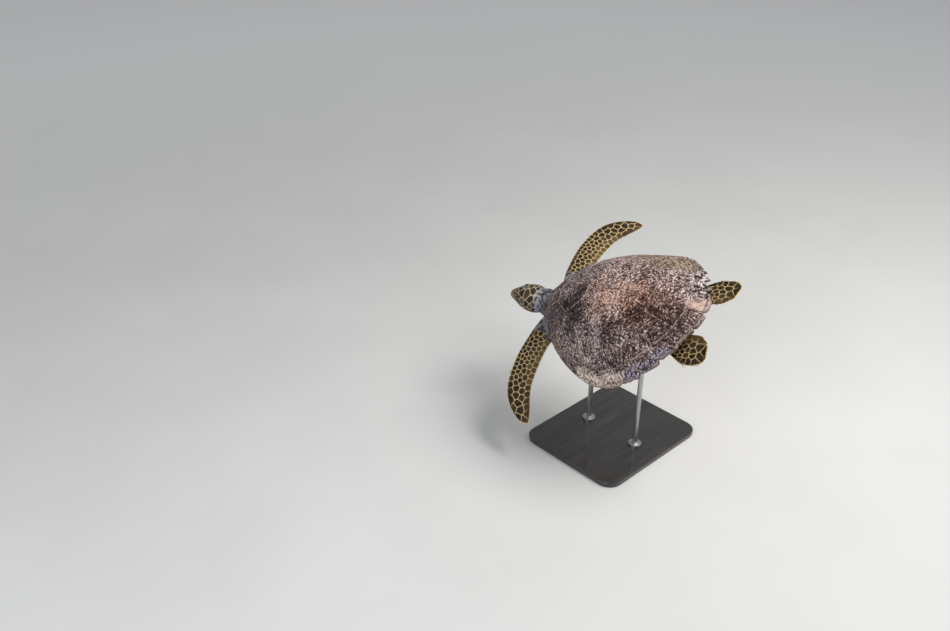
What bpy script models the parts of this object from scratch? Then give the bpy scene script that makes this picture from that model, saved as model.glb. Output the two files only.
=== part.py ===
"""Hawksbill sea turtle, a still life-size display model on a plain stand.

The turtle is modelled level in its own frame and then set on the stand by one empty.
In the turtle's frame +X is its left, +Y its tail end and +Z its back, and the origin is
the middle of the shell's length, at the height of the shell's seam line.
The finished part stands on Z = 0, with the origin under the middle of the stand's base.
"""

import math

import bmesh
import bpy
from mathutils import Matrix, Vector

# ---- Driving dimensions, in metres -------------------------------------------------

SHELL_LENGTH = 0.70          # straight carapace length, notch to notch
GAP = 0.0004                 # clearance between touching pieces
PLATE_THICKNESS = 0.006      # horn plates of the carapace, with the bone under them

# Pose on the stand
NOSE_DOWN = math.radians(19.3)
BANK_LEFT = math.radians(34.2)
SHELL_HEIGHT = 0.535         # shell's middle above the floor

# Stand
BASE_SIZE = (0.50, 0.42, 0.018)
BASE_CORNER = 0.05
BASE_CHAMFER = 0.0015
ROD_RADIUS = 0.009
ROD_FOOT_RADIUS = 0.024
ROD_FOOT_HEIGHT = 0.008
ROD_FILLET = 0.004
ROD_PLACES = {"front": (-0.11, 0.375), "rear": (0.11, 0.455)}   # along Y, and top before trimming

# ---- Proportions, in shell lengths -------------------------------------------------

# Plan of the carapace
SHELL_WIDTH = 0.788
WIDEST_AT = 0.514            # from the front edge
FRONT_FULLNESS = (1.88, 1.29)
REAR_FULLNESS = (1.99, 1.94)

# Height of its rim: raised over the neck and the tail, lowered along the flanks
RIM_FRONT_RISE = 0.025
RIM_FLANK_DROP = 0.087
RIM_REAR_RISE = 0.030
RIM_LOWEST_AT = 0.507
RIM_FLANK_SPREAD = 0.26
RIM_FRONT_SPREAD = 0.20
RIM_REAR_SPREAD = 0.18

# Dome
DOME_HEIGHT = 0.192
DOME_TOP_AT = 0.403
DOME_POWER_FRONT = 2.48
DOME_POWER_SIDE = 2.37
DOME_POWER_REAR = 2.04
DOME_EDGE_POWER = 0.964

# Plates: relative lengths along the rim from the nuchal plate's middle to the tail notch
RIM_PLATE_LENGTHS = (0.62, 0.9, 1.0, 1.0, 1.05, 1.05, 1.1, 1.15, 1.15, 1.1, 1.05, 0.95, 0.8)
PLAIN_COLUMNS = (0.0, 0.5)               # shares of a plate where the mesh has a column
TOOTHED_COLUMNS = (0.0, 0.5, 0.88)
FIRST_TOOTHED_PLATE = 7
TOOTH_LENGTH = 0.011
SEAM_RHO = 0.875             # where the rim plates end, as a share of the way to the rim
SEAM_RHO_FRONT = 0.90
SHELL_RINGS = (0.0, 0.30, 0.55, 0.75, 0.88, 1.0)
INNER_REACH = 0.6            # nearer the middle, rings have half as many points
EDGE_DEPTH = 0.012           # thickness of the shell's edge

VERTEBRAL_SEAMS = (0.04, 0.225, 0.415, 0.60, 0.765, 0.912)
VERTEBRAL_NARROW = 0.078     # half widths
VERTEBRAL_WIDE = 0.140
COSTAL_ENDS = (1.5, 4.5, 6.5, 8.5, 11.5)  # rim positions, in plates, where their seams end

# Body under the shell
PLASTRON_DEPTH = 0.165
PLASTRON_LENGTH = 0.80
PLASTRON_WIDTH = 0.53
PLASTRON_MIDDLE = 0.475
PLASTRON_UPTURN = 0.045
PLASTRON_THICKNESS = 0.014
PLASTRON_RINGS = (0.0, 0.5, 0.8, 1.0)

# Head, in its own frame: stations along its axis from the nape (0) to the beak's tip (1),
# with half width, height above the axis and depth below it
HEAD_LENGTH = 0.226
HEAD_STATIONS = (
    (0.00, 0.058, 0.044, 0.053),
    (0.14, 0.069, 0.052, 0.059),
    (0.34, 0.077, 0.058, 0.063),
    (0.52, 0.072, 0.057, 0.059),
    (0.66, 0.059, 0.050, 0.052),
    (0.78, 0.043, 0.037, 0.045),
    (0.90, 0.028, 0.018, 0.038),
    (0.97, 0.015, 0.002, 0.033),
    (1.00, 0.006, -0.012, 0.029),
)
HEAD_RINGS = 13
HEAD_SIDES = 16
NAPE = (-0.046, -0.027, -0.020)          # back from the front edge, left, up
HEAD_TURN = math.radians(6.0)             # towards its left
HEAD_RAISE = math.radians(27.0)           # beak up, so that it looks ahead
HEAD_ROLL = math.radians(-16.0)           # against the lean of the body
BEAK_AT = 0.77
MOUTH_HEIGHT = -0.020
LOWER_BEAK_END = 0.945
EYE_AT = (0.60, 0.0475, 0.017)           # along the head, left, up
EYE_RADIUS = 0.0165
EYE_SEGMENTS = 12
EYE_RINGS = 8

# Neck, from inside the trunk to the nape
NECK_ROOT = (0.10, 0.012, -0.070)
NECK_END_ALONG_HEAD = 0.04
NECK_ROOT_HALF = (0.112, 0.068)          # half width and half height
NECK_NAPE_HALF = (0.074, 0.058)
NECK_STEPS = 6

# Front flippers: the blade's middle line and half width, along its span
FLIPPER_SIDES = 12
FLIPPER_RINGS = 12
FLIPPER_HIND_EDGE_THINNING = 0.45
FRONT_MIDDLE = 0.119
FRONT_ELBOW_AT = 0.16
FRONT_ELBOW_BEND = 0.80
FRONT_WRIST_AT = 0.19
FRONT_WRIST_BEND = 1.86
FRONT_HALF_WIDTH = 0.070
FRONT_TAPER = (0.27, 0.15)               # where the tip's taper starts, and its length
FRONT_ROOT = {"left": (0.165, 0.245, -0.030), "right": (0.180, 0.245, -0.030)}
FRONT_SPAN = (-0.20, 0.419)              # along the flipper, from inside the body to the tip
FRONT_THICKNESS = (0.034, 0.0035)        # half of it, at the root and at the tip
FRONT_DOWN = math.radians(13.0)
FRONT_PITCH = {"left": math.radians(23.4), "right": math.radians(32.9)}
FRONT_SWEEP = {"left": 0.0, "right": math.radians(4.1)}
FRONT_CLAW_AT = 0.17

# Hind flippers: a paddle that widens from the ankle
HIND_ANKLE_HALF_WIDTH = 0.040
HIND_PADDLE_WIDENING = 0.044
HIND_PADDLE_FROM_ANKLE = 0.10
HIND_MIDDLE_SLOPE = 0.204
HIND_TAPER = (0.139, 0.085)
HIND_ROOT = (0.840, 0.153, -0.050)
HIND_SPAN = (-0.10, 0.2225)
HIND_THICKNESS = (0.026, 0.004)
HIND_DOWN = math.radians(9.8)
HIND_PITCH = {"left": 0.0, "right": math.radians(5.0)}
HIND_SWEEP = {"left": math.radians(100.0), "right": math.radians(91.0)}
HIND_CLAW_AT = 0.10
TIP_ROUNDNESS = 2.4

CLAW_LENGTH = 0.020
CLAW_RADIUS = 0.0065
CLAW_SINK = 0.008
TAIL_ROOT = (0.895, 0.0, -0.060)
TAIL_TIP = (1.000, 0.004, -0.012)
TAIL_RADIUS = (0.042, 0.007)
TAIL_FLATNESS = (1.15, 0.85)


# ---- Meshes ------------------------------------------------------------------------

def clear_scene():
    for old in list(bpy.data.objects):
        bpy.data.objects.remove(old, do_unlink=True)


def at(back, left, up):
    """A place in the turtle's frame, given in shell lengths."""
    return Vector((left, back - 0.5, up)) * SHELL_LENGTH


def make_object(name, mesh_builder, material):
    mesh = bpy.data.meshes.new(name)
    bmesh.ops.remove_doubles(mesh_builder, verts=mesh_builder.verts, dist=1e-6)
    bmesh.ops.recalc_face_normals(mesh_builder, faces=mesh_builder.faces)
    mesh_builder.to_mesh(mesh)
    mesh_builder.free()
    obj = bpy.data.objects.new(name, mesh)
    bpy.context.collection.objects.link(obj)
    if material is not None:
        mesh.materials.append(material)
    return obj


def band(builder, few, many):
    """Triangles between two rings; the second has as many points, or twice as many."""
    ratio = len(many) // len(few)
    for i, here in enumerate(few):
        after = few[(i + 1) % len(few)]
        near = [many[(i * ratio + k) % len(many)] for k in range(ratio + 1)]
        builder.faces.new((here, near[0], near[1]))
        builder.faces.new((here, near[1], after))
        if ratio == 2:
            builder.faces.new((after, near[1], near[2]))


def loft(rings):
    """A closed body through rings of points; a ring of one point closes to it."""
    builder = bmesh.new()
    rows = [[builder.verts.new(point) for point in ring] for ring in rings]
    for low, high in zip(rows[:-1], rows[1:]):
        few, many = sorted((low, high), key=len)
        if len(few) == 1:
            for i, point in enumerate(many):
                builder.faces.new((few[0], point, many[(i + 1) % len(many)]))
        else:
            band(builder, few, many)
    for row in (rows[0], rows[-1]):
        if len(row) > 1:
            builder.faces.new(row)
    return builder


def boolean(target, cutter, operation):
    """Apply a Boolean to the target's mesh and leave the cutter as it is."""
    modifier = target.modifiers.new("cut", "BOOLEAN")
    modifier.operation = operation
    modifier.solver = "EXACT"
    modifier.object = cutter
    bpy.context.view_layer.update()
    graph = bpy.context.evaluated_depsgraph_get()
    result = bpy.data.meshes.new_from_object(target.evaluated_get(graph))
    target.modifiers.clear()
    target.data = result


def swollen(source, amount):
    """A copy of an object's mesh, grown outwards by the amount, to cut with."""
    builder = bmesh.new()
    builder.from_mesh(source.data)
    builder.normal_update()
    moved = [(vert, vert.co + vert.normal * amount * vert.calc_shell_factor())
             for vert in builder.verts]
    for vert, place in moved:
        vert.co = place
    return make_object(source.name + "_cutter", builder, None)


def keep_largest(obj):
    """Drop the small offcuts that a Boolean leaves beyond a neighbour."""
    builder = bmesh.new()
    builder.from_mesh(obj.data)
    left = set(builder.verts)
    islands = []
    while left:
        island = set()
        edge = [left.pop()]
        while edge:
            vert = edge.pop()
            island.add(vert)
            near = {link.other_vert(vert) for link in vert.link_edges} & left
            left -= near
            edge.extend(near)
        islands.append(island)
    islands.sort(key=len)
    loose = [vert for island in islands[:-1] for vert in island]
    bmesh.ops.delete(builder, geom=loose, context="VERTS")
    builder.to_mesh(obj.data)
    builder.free()


def remove_object(obj):
    bpy.data.objects.remove(obj, do_unlink=True)


def cut_clear(target, *neighbours):
    """Trim the target back so that it keeps the gap to its neighbours."""
    for neighbour in neighbours:
        cutter = swollen(neighbour, GAP)
        cutter.matrix_world = neighbour.matrix_world
        boolean(target, cutter, "DIFFERENCE")
        remove_object(cutter)
    keep_largest(target)


def keep_side(obj, point, normal):
    """Cut a closed mesh with a plane and keep the side that the normal points to."""
    builder = bmesh.new()
    builder.from_mesh(obj.data)
    geometry = builder.verts[:] + builder.edges[:] + builder.faces[:]
    cut = bmesh.ops.bisect_plane(builder, geom=geometry, plane_co=point, plane_no=normal,
                                 clear_inner=True)
    edges = [item for item in cut["geom_cut"] if isinstance(item, bmesh.types.BMEdge)]
    bmesh.ops.holes_fill(builder, edges=edges)
    builder.to_mesh(obj.data)
    builder.free()


def material(name, color, roughness, metallic=0.0):
    made = bpy.data.materials.new(name)
    made.use_nodes = True
    shader = made.node_tree.nodes["Principled BSDF"]
    shader.inputs["Base Color"].default_value = (*color, 1.0)
    shader.inputs["Roughness"].default_value = roughness
    shader.inputs["Metallic"].default_value = metallic
    return made


# ---- Carapace ----------------------------------------------------------------------

def shell_half_width(back):
    front_power, front_root = FRONT_FULLNESS
    rear_power, rear_root = REAR_FULLNESS
    if back < WIDEST_AT:
        share = (WIDEST_AT - back) / WIDEST_AT
        return SHELL_WIDTH / 2 * max(0.0, 1 - share ** front_power) ** (1 / front_root)
    share = (back - WIDEST_AT) / (1 - WIDEST_AT)
    return SHELL_WIDTH / 2 * max(0.0, 1 - share ** rear_power) ** (1 / rear_root)


def rim_height(back):
    flank = -RIM_FLANK_DROP * math.exp(-((back - RIM_LOWEST_AT) / RIM_FLANK_SPREAD) ** 2)
    front = RIM_FRONT_RISE * math.exp(-(back / RIM_FRONT_SPREAD) ** 2)
    rear = RIM_REAR_RISE * math.exp(-((back - 1) / RIM_REAR_SPREAD) ** 2)
    return flank + front + rear


def dome_power(turn):
    toward_end = math.cos(turn)
    end_power = DOME_POWER_FRONT if toward_end > 0 else DOME_POWER_REAR
    return DOME_POWER_SIDE + (end_power - DOME_POWER_SIDE) * toward_end ** 2


def shell_point(turn, rho, outset=0.0):
    """A point of the shell's top; turn goes round the rim from the nuchal plate by the
    left flank to the tail notch, and rho from the dome's top (0) to the rim (1)."""
    rim_back = (1 - math.cos(turn)) / 2
    rim_left = math.copysign(shell_half_width(rim_back), math.sin(turn))
    length = math.hypot(rim_back - DOME_TOP_AT, rim_left)
    reach = rho * (1 + outset / length)
    height = rim_height(rim_back)
    profile = (1 - min(rho, 1.0) ** dome_power(turn)) ** DOME_EDGE_POWER
    back = DOME_TOP_AT + (rim_back - DOME_TOP_AT) * reach
    return back, rim_left * reach, height + (DOME_HEIGHT - height) * profile


def rim_turns():
    """Turns round the rim at the plates' ends, on the left side, front to back."""
    steps = 400
    turns = [math.pi * i / steps for i in range(steps + 1)]
    points = [shell_point(turn, 1.0)[:2] for turn in turns]
    lengths = [0.0]
    for first, second in zip(points[:-1], points[1:]):
        lengths.append(lengths[-1] + math.dist(first, second))
    total = sum(RIM_PLATE_LENGTHS)
    ends = []
    reached = 0.0
    for share in (0.0, *RIM_PLATE_LENGTHS):
        reached += share
        wanted = lengths[-1] * reached / total
        i = min(range(1, steps + 1), key=lambda k: abs(lengths[k] - wanted)) if reached else 0
        ends.append(turns[i])
    ends[-1] = math.pi
    return ends


PLATE_TURNS = rim_turns()


def plate_turn(position):
    """Turn at a position counted in rim plates; 1 is the nuchal plate's side seam."""
    index = min(int(position), len(PLATE_TURNS) - 2)
    share = position - index
    return PLATE_TURNS[index] + (PLATE_TURNS[index + 1] - PLATE_TURNS[index]) * share


def tooth(index, share):
    """How far a rim plate's hind corner stands out, at a share of its length."""
    if index < FIRST_TOOTHED_PLATE:
        return 0.0
    growth = min(1.0, (index - FIRST_TOOTHED_PLATE + 1) / 3)
    rise = (share / TOOTHED_COLUMNS[-1]) ** 2 if share <= TOOTHED_COLUMNS[-1] else 0.0
    return TOOTH_LENGTH * growth * rise


def rim_columns():
    """The mesh's columns round the whole rim, as pairs of turn and tooth length."""
    left = []
    for index in range(len(RIM_PLATE_LENGTHS)):
        for share in PLAIN_COLUMNS if index < FIRST_TOOTHED_PLATE else TOOTHED_COLUMNS:
            left.append((plate_turn(index + share), tooth(index, share)))
    left.append((math.pi, 0.0))
    right = [(-turn, length) for turn, length in reversed(left[1:-1])]
    return left + right


def thinned(ring, reach):
    """Keep one point of a ring at the middle, half of them near it and all further out."""
    if reach == 0.0:
        return ring[:1]
    return ring[::2] if reach < INNER_REACH else ring


def shell_rings(lowered, rings):
    """Rings of points from the dome's top outwards, lowered by a depth in metres."""
    made = []
    for rho in rings:
        ring = []
        for turn, tooth_length in rim_columns():
            place = at(*shell_point(turn, rho, tooth_length * rho ** 8))
            at_rim = max(lowered, EDGE_DEPTH) if lowered else 0.0
            depth = lowered + (at_rim - lowered) * rho ** 6
            ring.append(place - Vector((0, 0, depth)))
        made.append(thinned(ring, rho))
    return made


def make_shell():
    top = shell_rings(0.0, SHELL_RINGS)
    bottom = shell_rings(PLATE_THICKNESS, SHELL_RINGS)
    return make_object("shell", loft(top + bottom[::-1]), None)


def seam_rho(turn):
    """The rim plates are narrower at the front of the shell."""
    toward_front = max(0.0, math.cos(turn)) ** 2
    return SEAM_RHO + (SEAM_RHO_FRONT - SEAM_RHO) * toward_front


def plan(turn, rho):
    back, left, _ = shell_point(turn, rho)
    return back, left


def seam_run(start, end):
    """Points along the seam between rim plates and dome plates, every half rim plate."""
    steps = round((end - start) * 2)
    run = []
    for i in range(steps + 1):
        turn = plate_turn(start + (end - start) * i / steps)
        run.append(plan(turn, seam_rho(turn)))
    return run


def rim_plate_outline(index):
    beyond = 1.25
    outer = [plan(plate_turn(index + share), beyond) for share in (1.0, 0.5, 0.0)]
    return seam_run(index, index + 1) + outer


def vertebral_outline(index):
    """Left half of a vertebral plate, from the midline at its front to that at its rear."""
    front = VERTEBRAL_SEAMS[index]
    rear = VERTEBRAL_SEAMS[index + 1]
    if index == 0:
        return [*seam_run(0.0, COSTAL_ENDS[0]), (rear, VERTEBRAL_NARROW), (rear, 0.0)]
    if index == 4:
        return [(front, 0.0), (front, VERTEBRAL_NARROW), *seam_run(COSTAL_ENDS[-1], 13.0)]
    middle = (front + rear) / 2
    return [(front, 0.0), (front, VERTEBRAL_NARROW), (middle, VERTEBRAL_WIDE),
            (rear, VERTEBRAL_NARROW), (rear, 0.0)]


def costal_outline(index):
    """A costal plate of the left side, between two costal seams."""
    rear_break = VERTEBRAL_SEAMS[index + 1]
    corners = [(rear_break, VERTEBRAL_NARROW)]
    if index > 0:
        middle = (VERTEBRAL_SEAMS[index] + VERTEBRAL_SEAMS[index + 1]) / 2
        corners.append((middle, VERTEBRAL_WIDE))
    if index < 3:
        middle = (VERTEBRAL_SEAMS[index + 1] + VERTEBRAL_SEAMS[index + 2]) / 2
        corners.insert(0, (middle, VERTEBRAL_WIDE))
    return seam_run(COSTAL_ENDS[index], COSTAL_ENDS[index + 1]) + corners


def shrink_outline(points, distance):
    """Move each side of a closed outline inwards by the distance."""
    area = sum(a[0] * b[1] - b[0] * a[1] for a, b in zip(points, points[1:] + points[:1]))
    sign = 1.0 if area > 0 else -1.0
    made = []
    for before, here, after in zip(points[-1:] + points[:-1], points, points[1:] + points[:1]):
        first = Vector((here[0] - before[0], here[1] - before[1])).normalized()
        second = Vector((after[0] - here[0], after[1] - here[1])).normalized()
        normal_1 = Vector((-first.y, first.x)) * sign
        normal_2 = Vector((-second.y, second.x)) * sign
        bisector = (normal_1 + normal_2).normalized()
        reach = distance / max(0.35, bisector.dot(normal_1))
        made.append((here[0] + bisector.x * reach, here[1] + bisector.y * reach))
    return made


def make_plate(name, outline, shell, horn):
    """One plate: the shell inside an upright prism over the plate's outline."""
    inset = shrink_outline(outline, GAP / 2 / SHELL_LENGTH)
    low = [at(back, left, -0.5) for back, left in inset]
    high = [at(back, left, 0.5) for back, left in inset]
    prism = make_object(name, loft([low, high]), horn)
    boolean(prism, shell, "INTERSECT")
    return prism


def mirrored(points):
    return [(back, -left) for back, left in reversed(points)]


def make_carapace(shell, horn):
    plates = []
    nuchal_half = rim_plate_outline(0)
    plates.append(make_plate("nuchal", whole(nuchal_half), shell, horn))
    for index in range(1, len(RIM_PLATE_LENGTHS)):
        base = f"marginal_{index}" if index < len(RIM_PLATE_LENGTHS) - 1 else "supracaudal"
        outline = rim_plate_outline(index)
        plates.append(make_plate(f"{base}_left", outline, shell, horn))
        plates.append(make_plate(f"{base}_right", mirrored(outline), shell, horn))
    for index in range(len(VERTEBRAL_SEAMS) - 1):
        outline = vertebral_outline(index)
        plates.append(make_plate(f"vertebral_{index + 1}", whole(outline), shell, horn))
    for index in range(len(COSTAL_ENDS) - 1):
        outline = costal_outline(index)
        plates.append(make_plate(f"costal_{index + 1}_left", outline, shell, horn))
        plates.append(make_plate(f"costal_{index + 1}_right", mirrored(outline), shell, horn))
    return plates


def whole(half):
    """Join a left half outline, which starts and ends on the midline, to its mirror."""
    other = [(back, -left) for back, left in reversed(half) if abs(left) > 1e-6]
    return half + other


# ---- Trunk and plastron ------------------------------------------------------------

def plastron_point(turn, reach, lifted=0.0):
    """Underside of the body: flat in the middle, turned up towards its edge."""
    back = PLASTRON_MIDDLE - PLASTRON_LENGTH / 2 * reach * math.cos(turn)
    left = PLASTRON_WIDTH / 2 * reach * math.sin(turn)
    up = PLASTRON_UPTURN * reach ** 3 - PLASTRON_DEPTH
    return at(back, left, up) + Vector((0, 0, lifted))


def make_plastron(horn):
    turns = [turn for turn, _ in rim_columns()]
    rings = []
    for lifted, shares in ((PLASTRON_THICKNESS, PLASTRON_RINGS), (0.0, PLASTRON_RINGS[::-1])):
        for reach in shares:
            ring = [plastron_point(turn, reach, lifted) for turn in turns]
            rings.append(thinned(ring, reach))
    return make_object("plastron", loft(rings), horn)


def make_trunk(skin):
    """The body between shell and plastron, with its walls sloping in to the plastron."""
    turns = [turn for turn, _ in rim_columns()]
    rings = []
    for reach in PLASTRON_RINGS:
        ring = [plastron_point(turn, reach, PLASTRON_THICKNESS + GAP) for turn in turns]
        rings.append(thinned(ring, reach))
    tops = shell_rings(PLATE_THICKNESS + GAP, SHELL_RINGS[:-1])[::-1]
    return make_object("trunk", loft(rings + tops), skin)


# ---- Head and neck -----------------------------------------------------------------

def smooth_between(stations, share, column):
    """Read one column of a station table with a Catmull-Rom curve."""
    keys = [row[0] for row in stations]
    index = max(0, min(len(keys) - 2, sum(key <= share for key in keys) - 1))
    p1, p2 = stations[index], stations[index + 1]
    p0 = stations[max(0, index - 1)]
    p3 = stations[min(len(keys) - 1, index + 2)]
    t = (share - p1[0]) / (p2[0] - p1[0])
    span = p2[0] - p1[0]
    slope_1 = (p2[column] - p0[column]) / max(1e-9, p2[0] - p0[0]) * span
    slope_2 = (p3[column] - p1[column]) / max(1e-9, p3[0] - p1[0]) * span
    blend = 2 * t ** 3 - 3 * t ** 2
    return ((blend + 1) * p1[column] + (t ** 3 - 2 * t ** 2 + t) * slope_1
            - blend * p2[column] + (t ** 3 - t ** 2) * slope_2)


def head_matrix():
    """The head's frame: +Y from the nape to the beak's tip, +Z up, +X its left."""
    turned = Matrix.Translation(at(*NAPE)) @ Matrix.Rotation(math.pi + HEAD_TURN, 4, "Z")
    return turned @ Matrix.Rotation(HEAD_RAISE, 4, "X") @ Matrix.Rotation(HEAD_ROLL, 4, "Y")


def head_ring(share):
    width, top, bottom = (smooth_between(HEAD_STATIONS, share, k) for k in (1, 2, 3))
    ring = []
    for i in range(HEAD_SIDES):
        angle = 2 * math.pi * i / HEAD_SIDES
        side = math.copysign(abs(math.cos(angle)) ** 0.9, math.cos(angle)) * width
        height = math.sin(angle) * (top if math.sin(angle) > 0 else bottom)
        place = Vector((side, share * HEAD_LENGTH, height)) * SHELL_LENGTH
        ring.append(head_matrix() @ place)
    return ring


def head_place(along, left, up):
    return head_matrix() @ (Vector((-left, along * HEAD_LENGTH, up)) * SHELL_LENGTH)


def head_direction(left, forward, up):
    return (head_matrix().to_3x3() @ Vector((-left, forward, up))).normalized()


def make_head(skin, beak, eye):
    shares = [1 - (1 - i / (HEAD_RINGS - 1)) ** 1.15 for i in range(HEAD_RINGS)]
    rings = [head_ring(share) for share in shares]
    forward = head_direction(0, 1, 0)
    upward = head_direction(0, 0, 1)
    line = head_place(BEAK_AT, 0, 0)
    mouth = head_place(BEAK_AT, 0, MOUTH_HEIGHT)

    head = make_object("head", loft(rings), skin)
    keep_side(head, line - forward * GAP / 2, -forward)
    upper = make_object("beak_upper", loft(rings), beak)
    keep_side(upper, line + forward * GAP / 2, forward)
    keep_side(upper, mouth + upward * GAP / 2, upward)
    lower = make_object("beak_lower", loft(rings), beak)
    keep_side(lower, line + forward * GAP / 2, forward)
    keep_side(lower, mouth - upward * GAP / 2, -upward)
    keep_side(lower, head_place(LOWER_BEAK_END, 0, 0), -forward)

    eyes = []
    for side, sign in (("left", 1), ("right", -1)):
        along, left, up = EYE_AT
        builder = bmesh.new()
        bmesh.ops.create_uvsphere(builder, u_segments=EYE_SEGMENTS, v_segments=EYE_RINGS,
                                  radius=EYE_RADIUS * SHELL_LENGTH)
        place = Matrix.Translation(head_place(along, left * sign, up))
        bmesh.ops.transform(builder, matrix=place, verts=builder.verts)
        ball = make_object(f"eye_{side}", builder, eye)
        cut_clear(head, ball)
        eyes.append(ball)
    return [head, upper, lower, *eyes]


def make_neck(skin, trunk, shell, plastron, head):
    """The neck, from inside the trunk to the back of the head, turning with it."""
    root = at(*NECK_ROOT)
    head_axes = head_matrix().to_3x3()
    nape = head_place(NECK_END_ALONG_HEAD, 0, 0)
    rings = []
    for i in range(NECK_STEPS + 1):
        share = i / NECK_STEPS
        ease = share * share * (3 - 2 * share)
        centre = root.lerp(nape, share)
        centre.z = root.z + (nape.z - root.z) * ease
        width, height = (start + (end - start) * ease
                         for start, end in zip(NECK_ROOT_HALF, NECK_NAPE_HALF))
        ring = []
        for k in range(HEAD_SIDES):
            angle = 2 * math.pi * k / HEAD_SIDES
            across = width * math.cos(angle)
            upward = height * math.sin(angle)
            spoke = Vector((across, 0, upward)).lerp(head_axes @ Vector((-across, 0, upward)),
                                                     ease)
            ring.append(centre + spoke * SHELL_LENGTH)
        rings.append(ring)
    neck = make_object("neck", loft(rings), skin)
    cut_clear(neck, trunk, shell, plastron, head)
    return neck


# ---- Limbs and tail ----------------------------------------------------------------

def tip_taper(span, taper):
    start, length = taper
    narrow = max(0.0, (span - start) / length)
    return max(0.0, 1 - narrow ** TIP_ROUNDNESS) ** 0.5


def front_planform(span):
    """Middle of the blade and half its width at a place along the front flipper."""
    root = FRONT_ELBOW_BEND * max(0.0, FRONT_ELBOW_AT - span) ** 2
    tip = FRONT_WRIST_BEND * max(0.0, span - FRONT_WRIST_AT) ** 2
    return FRONT_MIDDLE - root - tip, FRONT_HALF_WIDTH * tip_taper(span, FRONT_TAPER)


def hind_planform(span):
    """Middle of the blade and half its width at a place along the hind flipper."""
    spread = min(1.0, max(0.0, span / HIND_PADDLE_FROM_ANKLE))
    spread = spread * spread * (3 - 2 * spread)
    half = HIND_ANKLE_HALF_WIDTH + HIND_PADDLE_WIDENING * spread
    return HIND_MIDDLE_SLOPE * span, half * tip_taper(span, HIND_TAPER)


def blade_matrix(root, side, span_down, sweep_back, pitch):
    """A flipper's frame: X along its span, Y towards its leading edge, Z its upper face."""
    back, left, up = root
    forward = Vector((0, -1, 0))
    outward = Vector((side, 0, 0))
    upward = Vector((0, 0, 1))
    frame = [outward, forward, upward]
    for angle, about in ((-side * span_down, 1), (-side * pitch, 0), (side * sweep_back, 2)):
        spin = Matrix.Rotation(angle, 3, frame[about])
        frame = [spin @ axis for axis in frame]
    matrix = Matrix(frame).transposed().to_4x4()
    return Matrix.Translation(at(back, left * side, up)) @ matrix


def blade_ring(matrix, span, planform, thickness):
    middle, half = planform(span)
    ring = []
    for i in range(FLIPPER_SIDES):
        angle = 2 * math.pi * i / FLIPPER_SIDES
        chord = math.cos(angle)
        body = thickness * (1 - FLIPPER_HIND_EDGE_THINNING * (1 - chord) / 2)
        place = Vector((span, middle + half * chord, math.sin(angle) * body))
        ring.append(matrix @ (place * SHELL_LENGTH))
    return ring


def make_flipper(name, matrix, planform, span_range, thickness, skin):
    """A blade that thins towards its tip, where its rings lie closer together."""
    start, end = span_range
    at_root, at_tip = thickness
    rings = []
    for i in range(FLIPPER_RINGS):
        along = 1 - (1 - i / (FLIPPER_RINGS - 1)) ** 1.7
        thick = at_tip + (at_root - at_tip) * (1 - along) ** 1.6
        rings.append(blade_ring(matrix, start + (end - start) * along, planform, thick))
    return make_object(name, loft(rings), skin)


def make_claw(name, matrix, span, planform, horn):
    """A small curved cone on the flipper's leading edge, pointing to the tip."""
    middle, half = planform(span)
    rings = []
    steps = 4
    sides = 6
    for i in range(steps + 1):
        share = i / steps
        radius = CLAW_RADIUS * (1 - share) ** 0.7
        along = span + CLAW_LENGTH * 0.75 * share ** 1.4
        out = middle + half - CLAW_SINK + CLAW_LENGTH * share
        ring = []
        for k in range(sides):
            angle = 2 * math.pi * k / sides
            place = Vector((along + radius * math.cos(angle), out, radius * math.sin(angle)))
            ring.append(matrix @ (place * SHELL_LENGTH))
        rings.append(ring if i < steps else ring[:1])
    return make_object(name, loft(rings), horn)


def make_limb(name, matrix, planform, spans, thickness, claw_at, skin, horn, body):
    flipper = make_flipper(f"flipper_{name}", matrix, planform, spans, thickness, skin)
    cut_clear(flipper, *body)
    claw = make_claw(f"claw_{name}", matrix, claw_at, planform, horn)
    cut_clear(claw, flipper)
    return [flipper, claw]


def make_limbs(skin, horn, *body):
    pieces = []
    for name, side in (("left", 1), ("right", -1)):
        front = blade_matrix(FRONT_ROOT[name], side, FRONT_DOWN, FRONT_SWEEP[name],
                             FRONT_PITCH[name])
        pieces += make_limb(f"front_{name}", front, front_planform, FRONT_SPAN,
                            FRONT_THICKNESS, FRONT_CLAW_AT, skin, horn, body)
        hind = blade_matrix(HIND_ROOT, side, HIND_DOWN, HIND_SWEEP[name], HIND_PITCH[name])
        pieces += make_limb(f"hind_{name}", hind, hind_planform, HIND_SPAN,
                            HIND_THICKNESS, HIND_CLAW_AT, skin, horn, body)
    return pieces


def make_tail(skin, *body):
    root = at(*TAIL_ROOT)
    tip = at(*TAIL_TIP)
    rings = []
    steps = 4
    sides = 12
    for i in range(steps + 1):
        share = i / steps
        centre = root.lerp(tip, share)
        radius = (TAIL_RADIUS[0] + (TAIL_RADIUS[1] - TAIL_RADIUS[0]) * share) * SHELL_LENGTH
        ring = []
        for k in range(sides):
            angle = 2 * math.pi * k / sides
            ring.append(centre + Vector((TAIL_FLATNESS[0] * radius * math.cos(angle), 0,
                                         TAIL_FLATNESS[1] * radius * math.sin(angle))))
        rings.append(ring)
    tail = make_object("tail", loft(rings), skin)
    cut_clear(tail, *body)
    return tail


# ---- Stand -------------------------------------------------------------------------

def rounded_rectangle(width, depth, corner, height):
    ring = []
    corner_steps = 5
    for k, (sign_x, sign_y) in enumerate(((1, 1), (-1, 1), (-1, -1), (1, -1))):
        for step in range(corner_steps + 1):
            angle = math.pi / 2 * (k + step / corner_steps)
            ring.append(Vector((sign_x * (width / 2 - corner) + corner * math.cos(angle),
                                sign_y * (depth / 2 - corner) + corner * math.sin(angle),
                                height)))
    return ring


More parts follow.
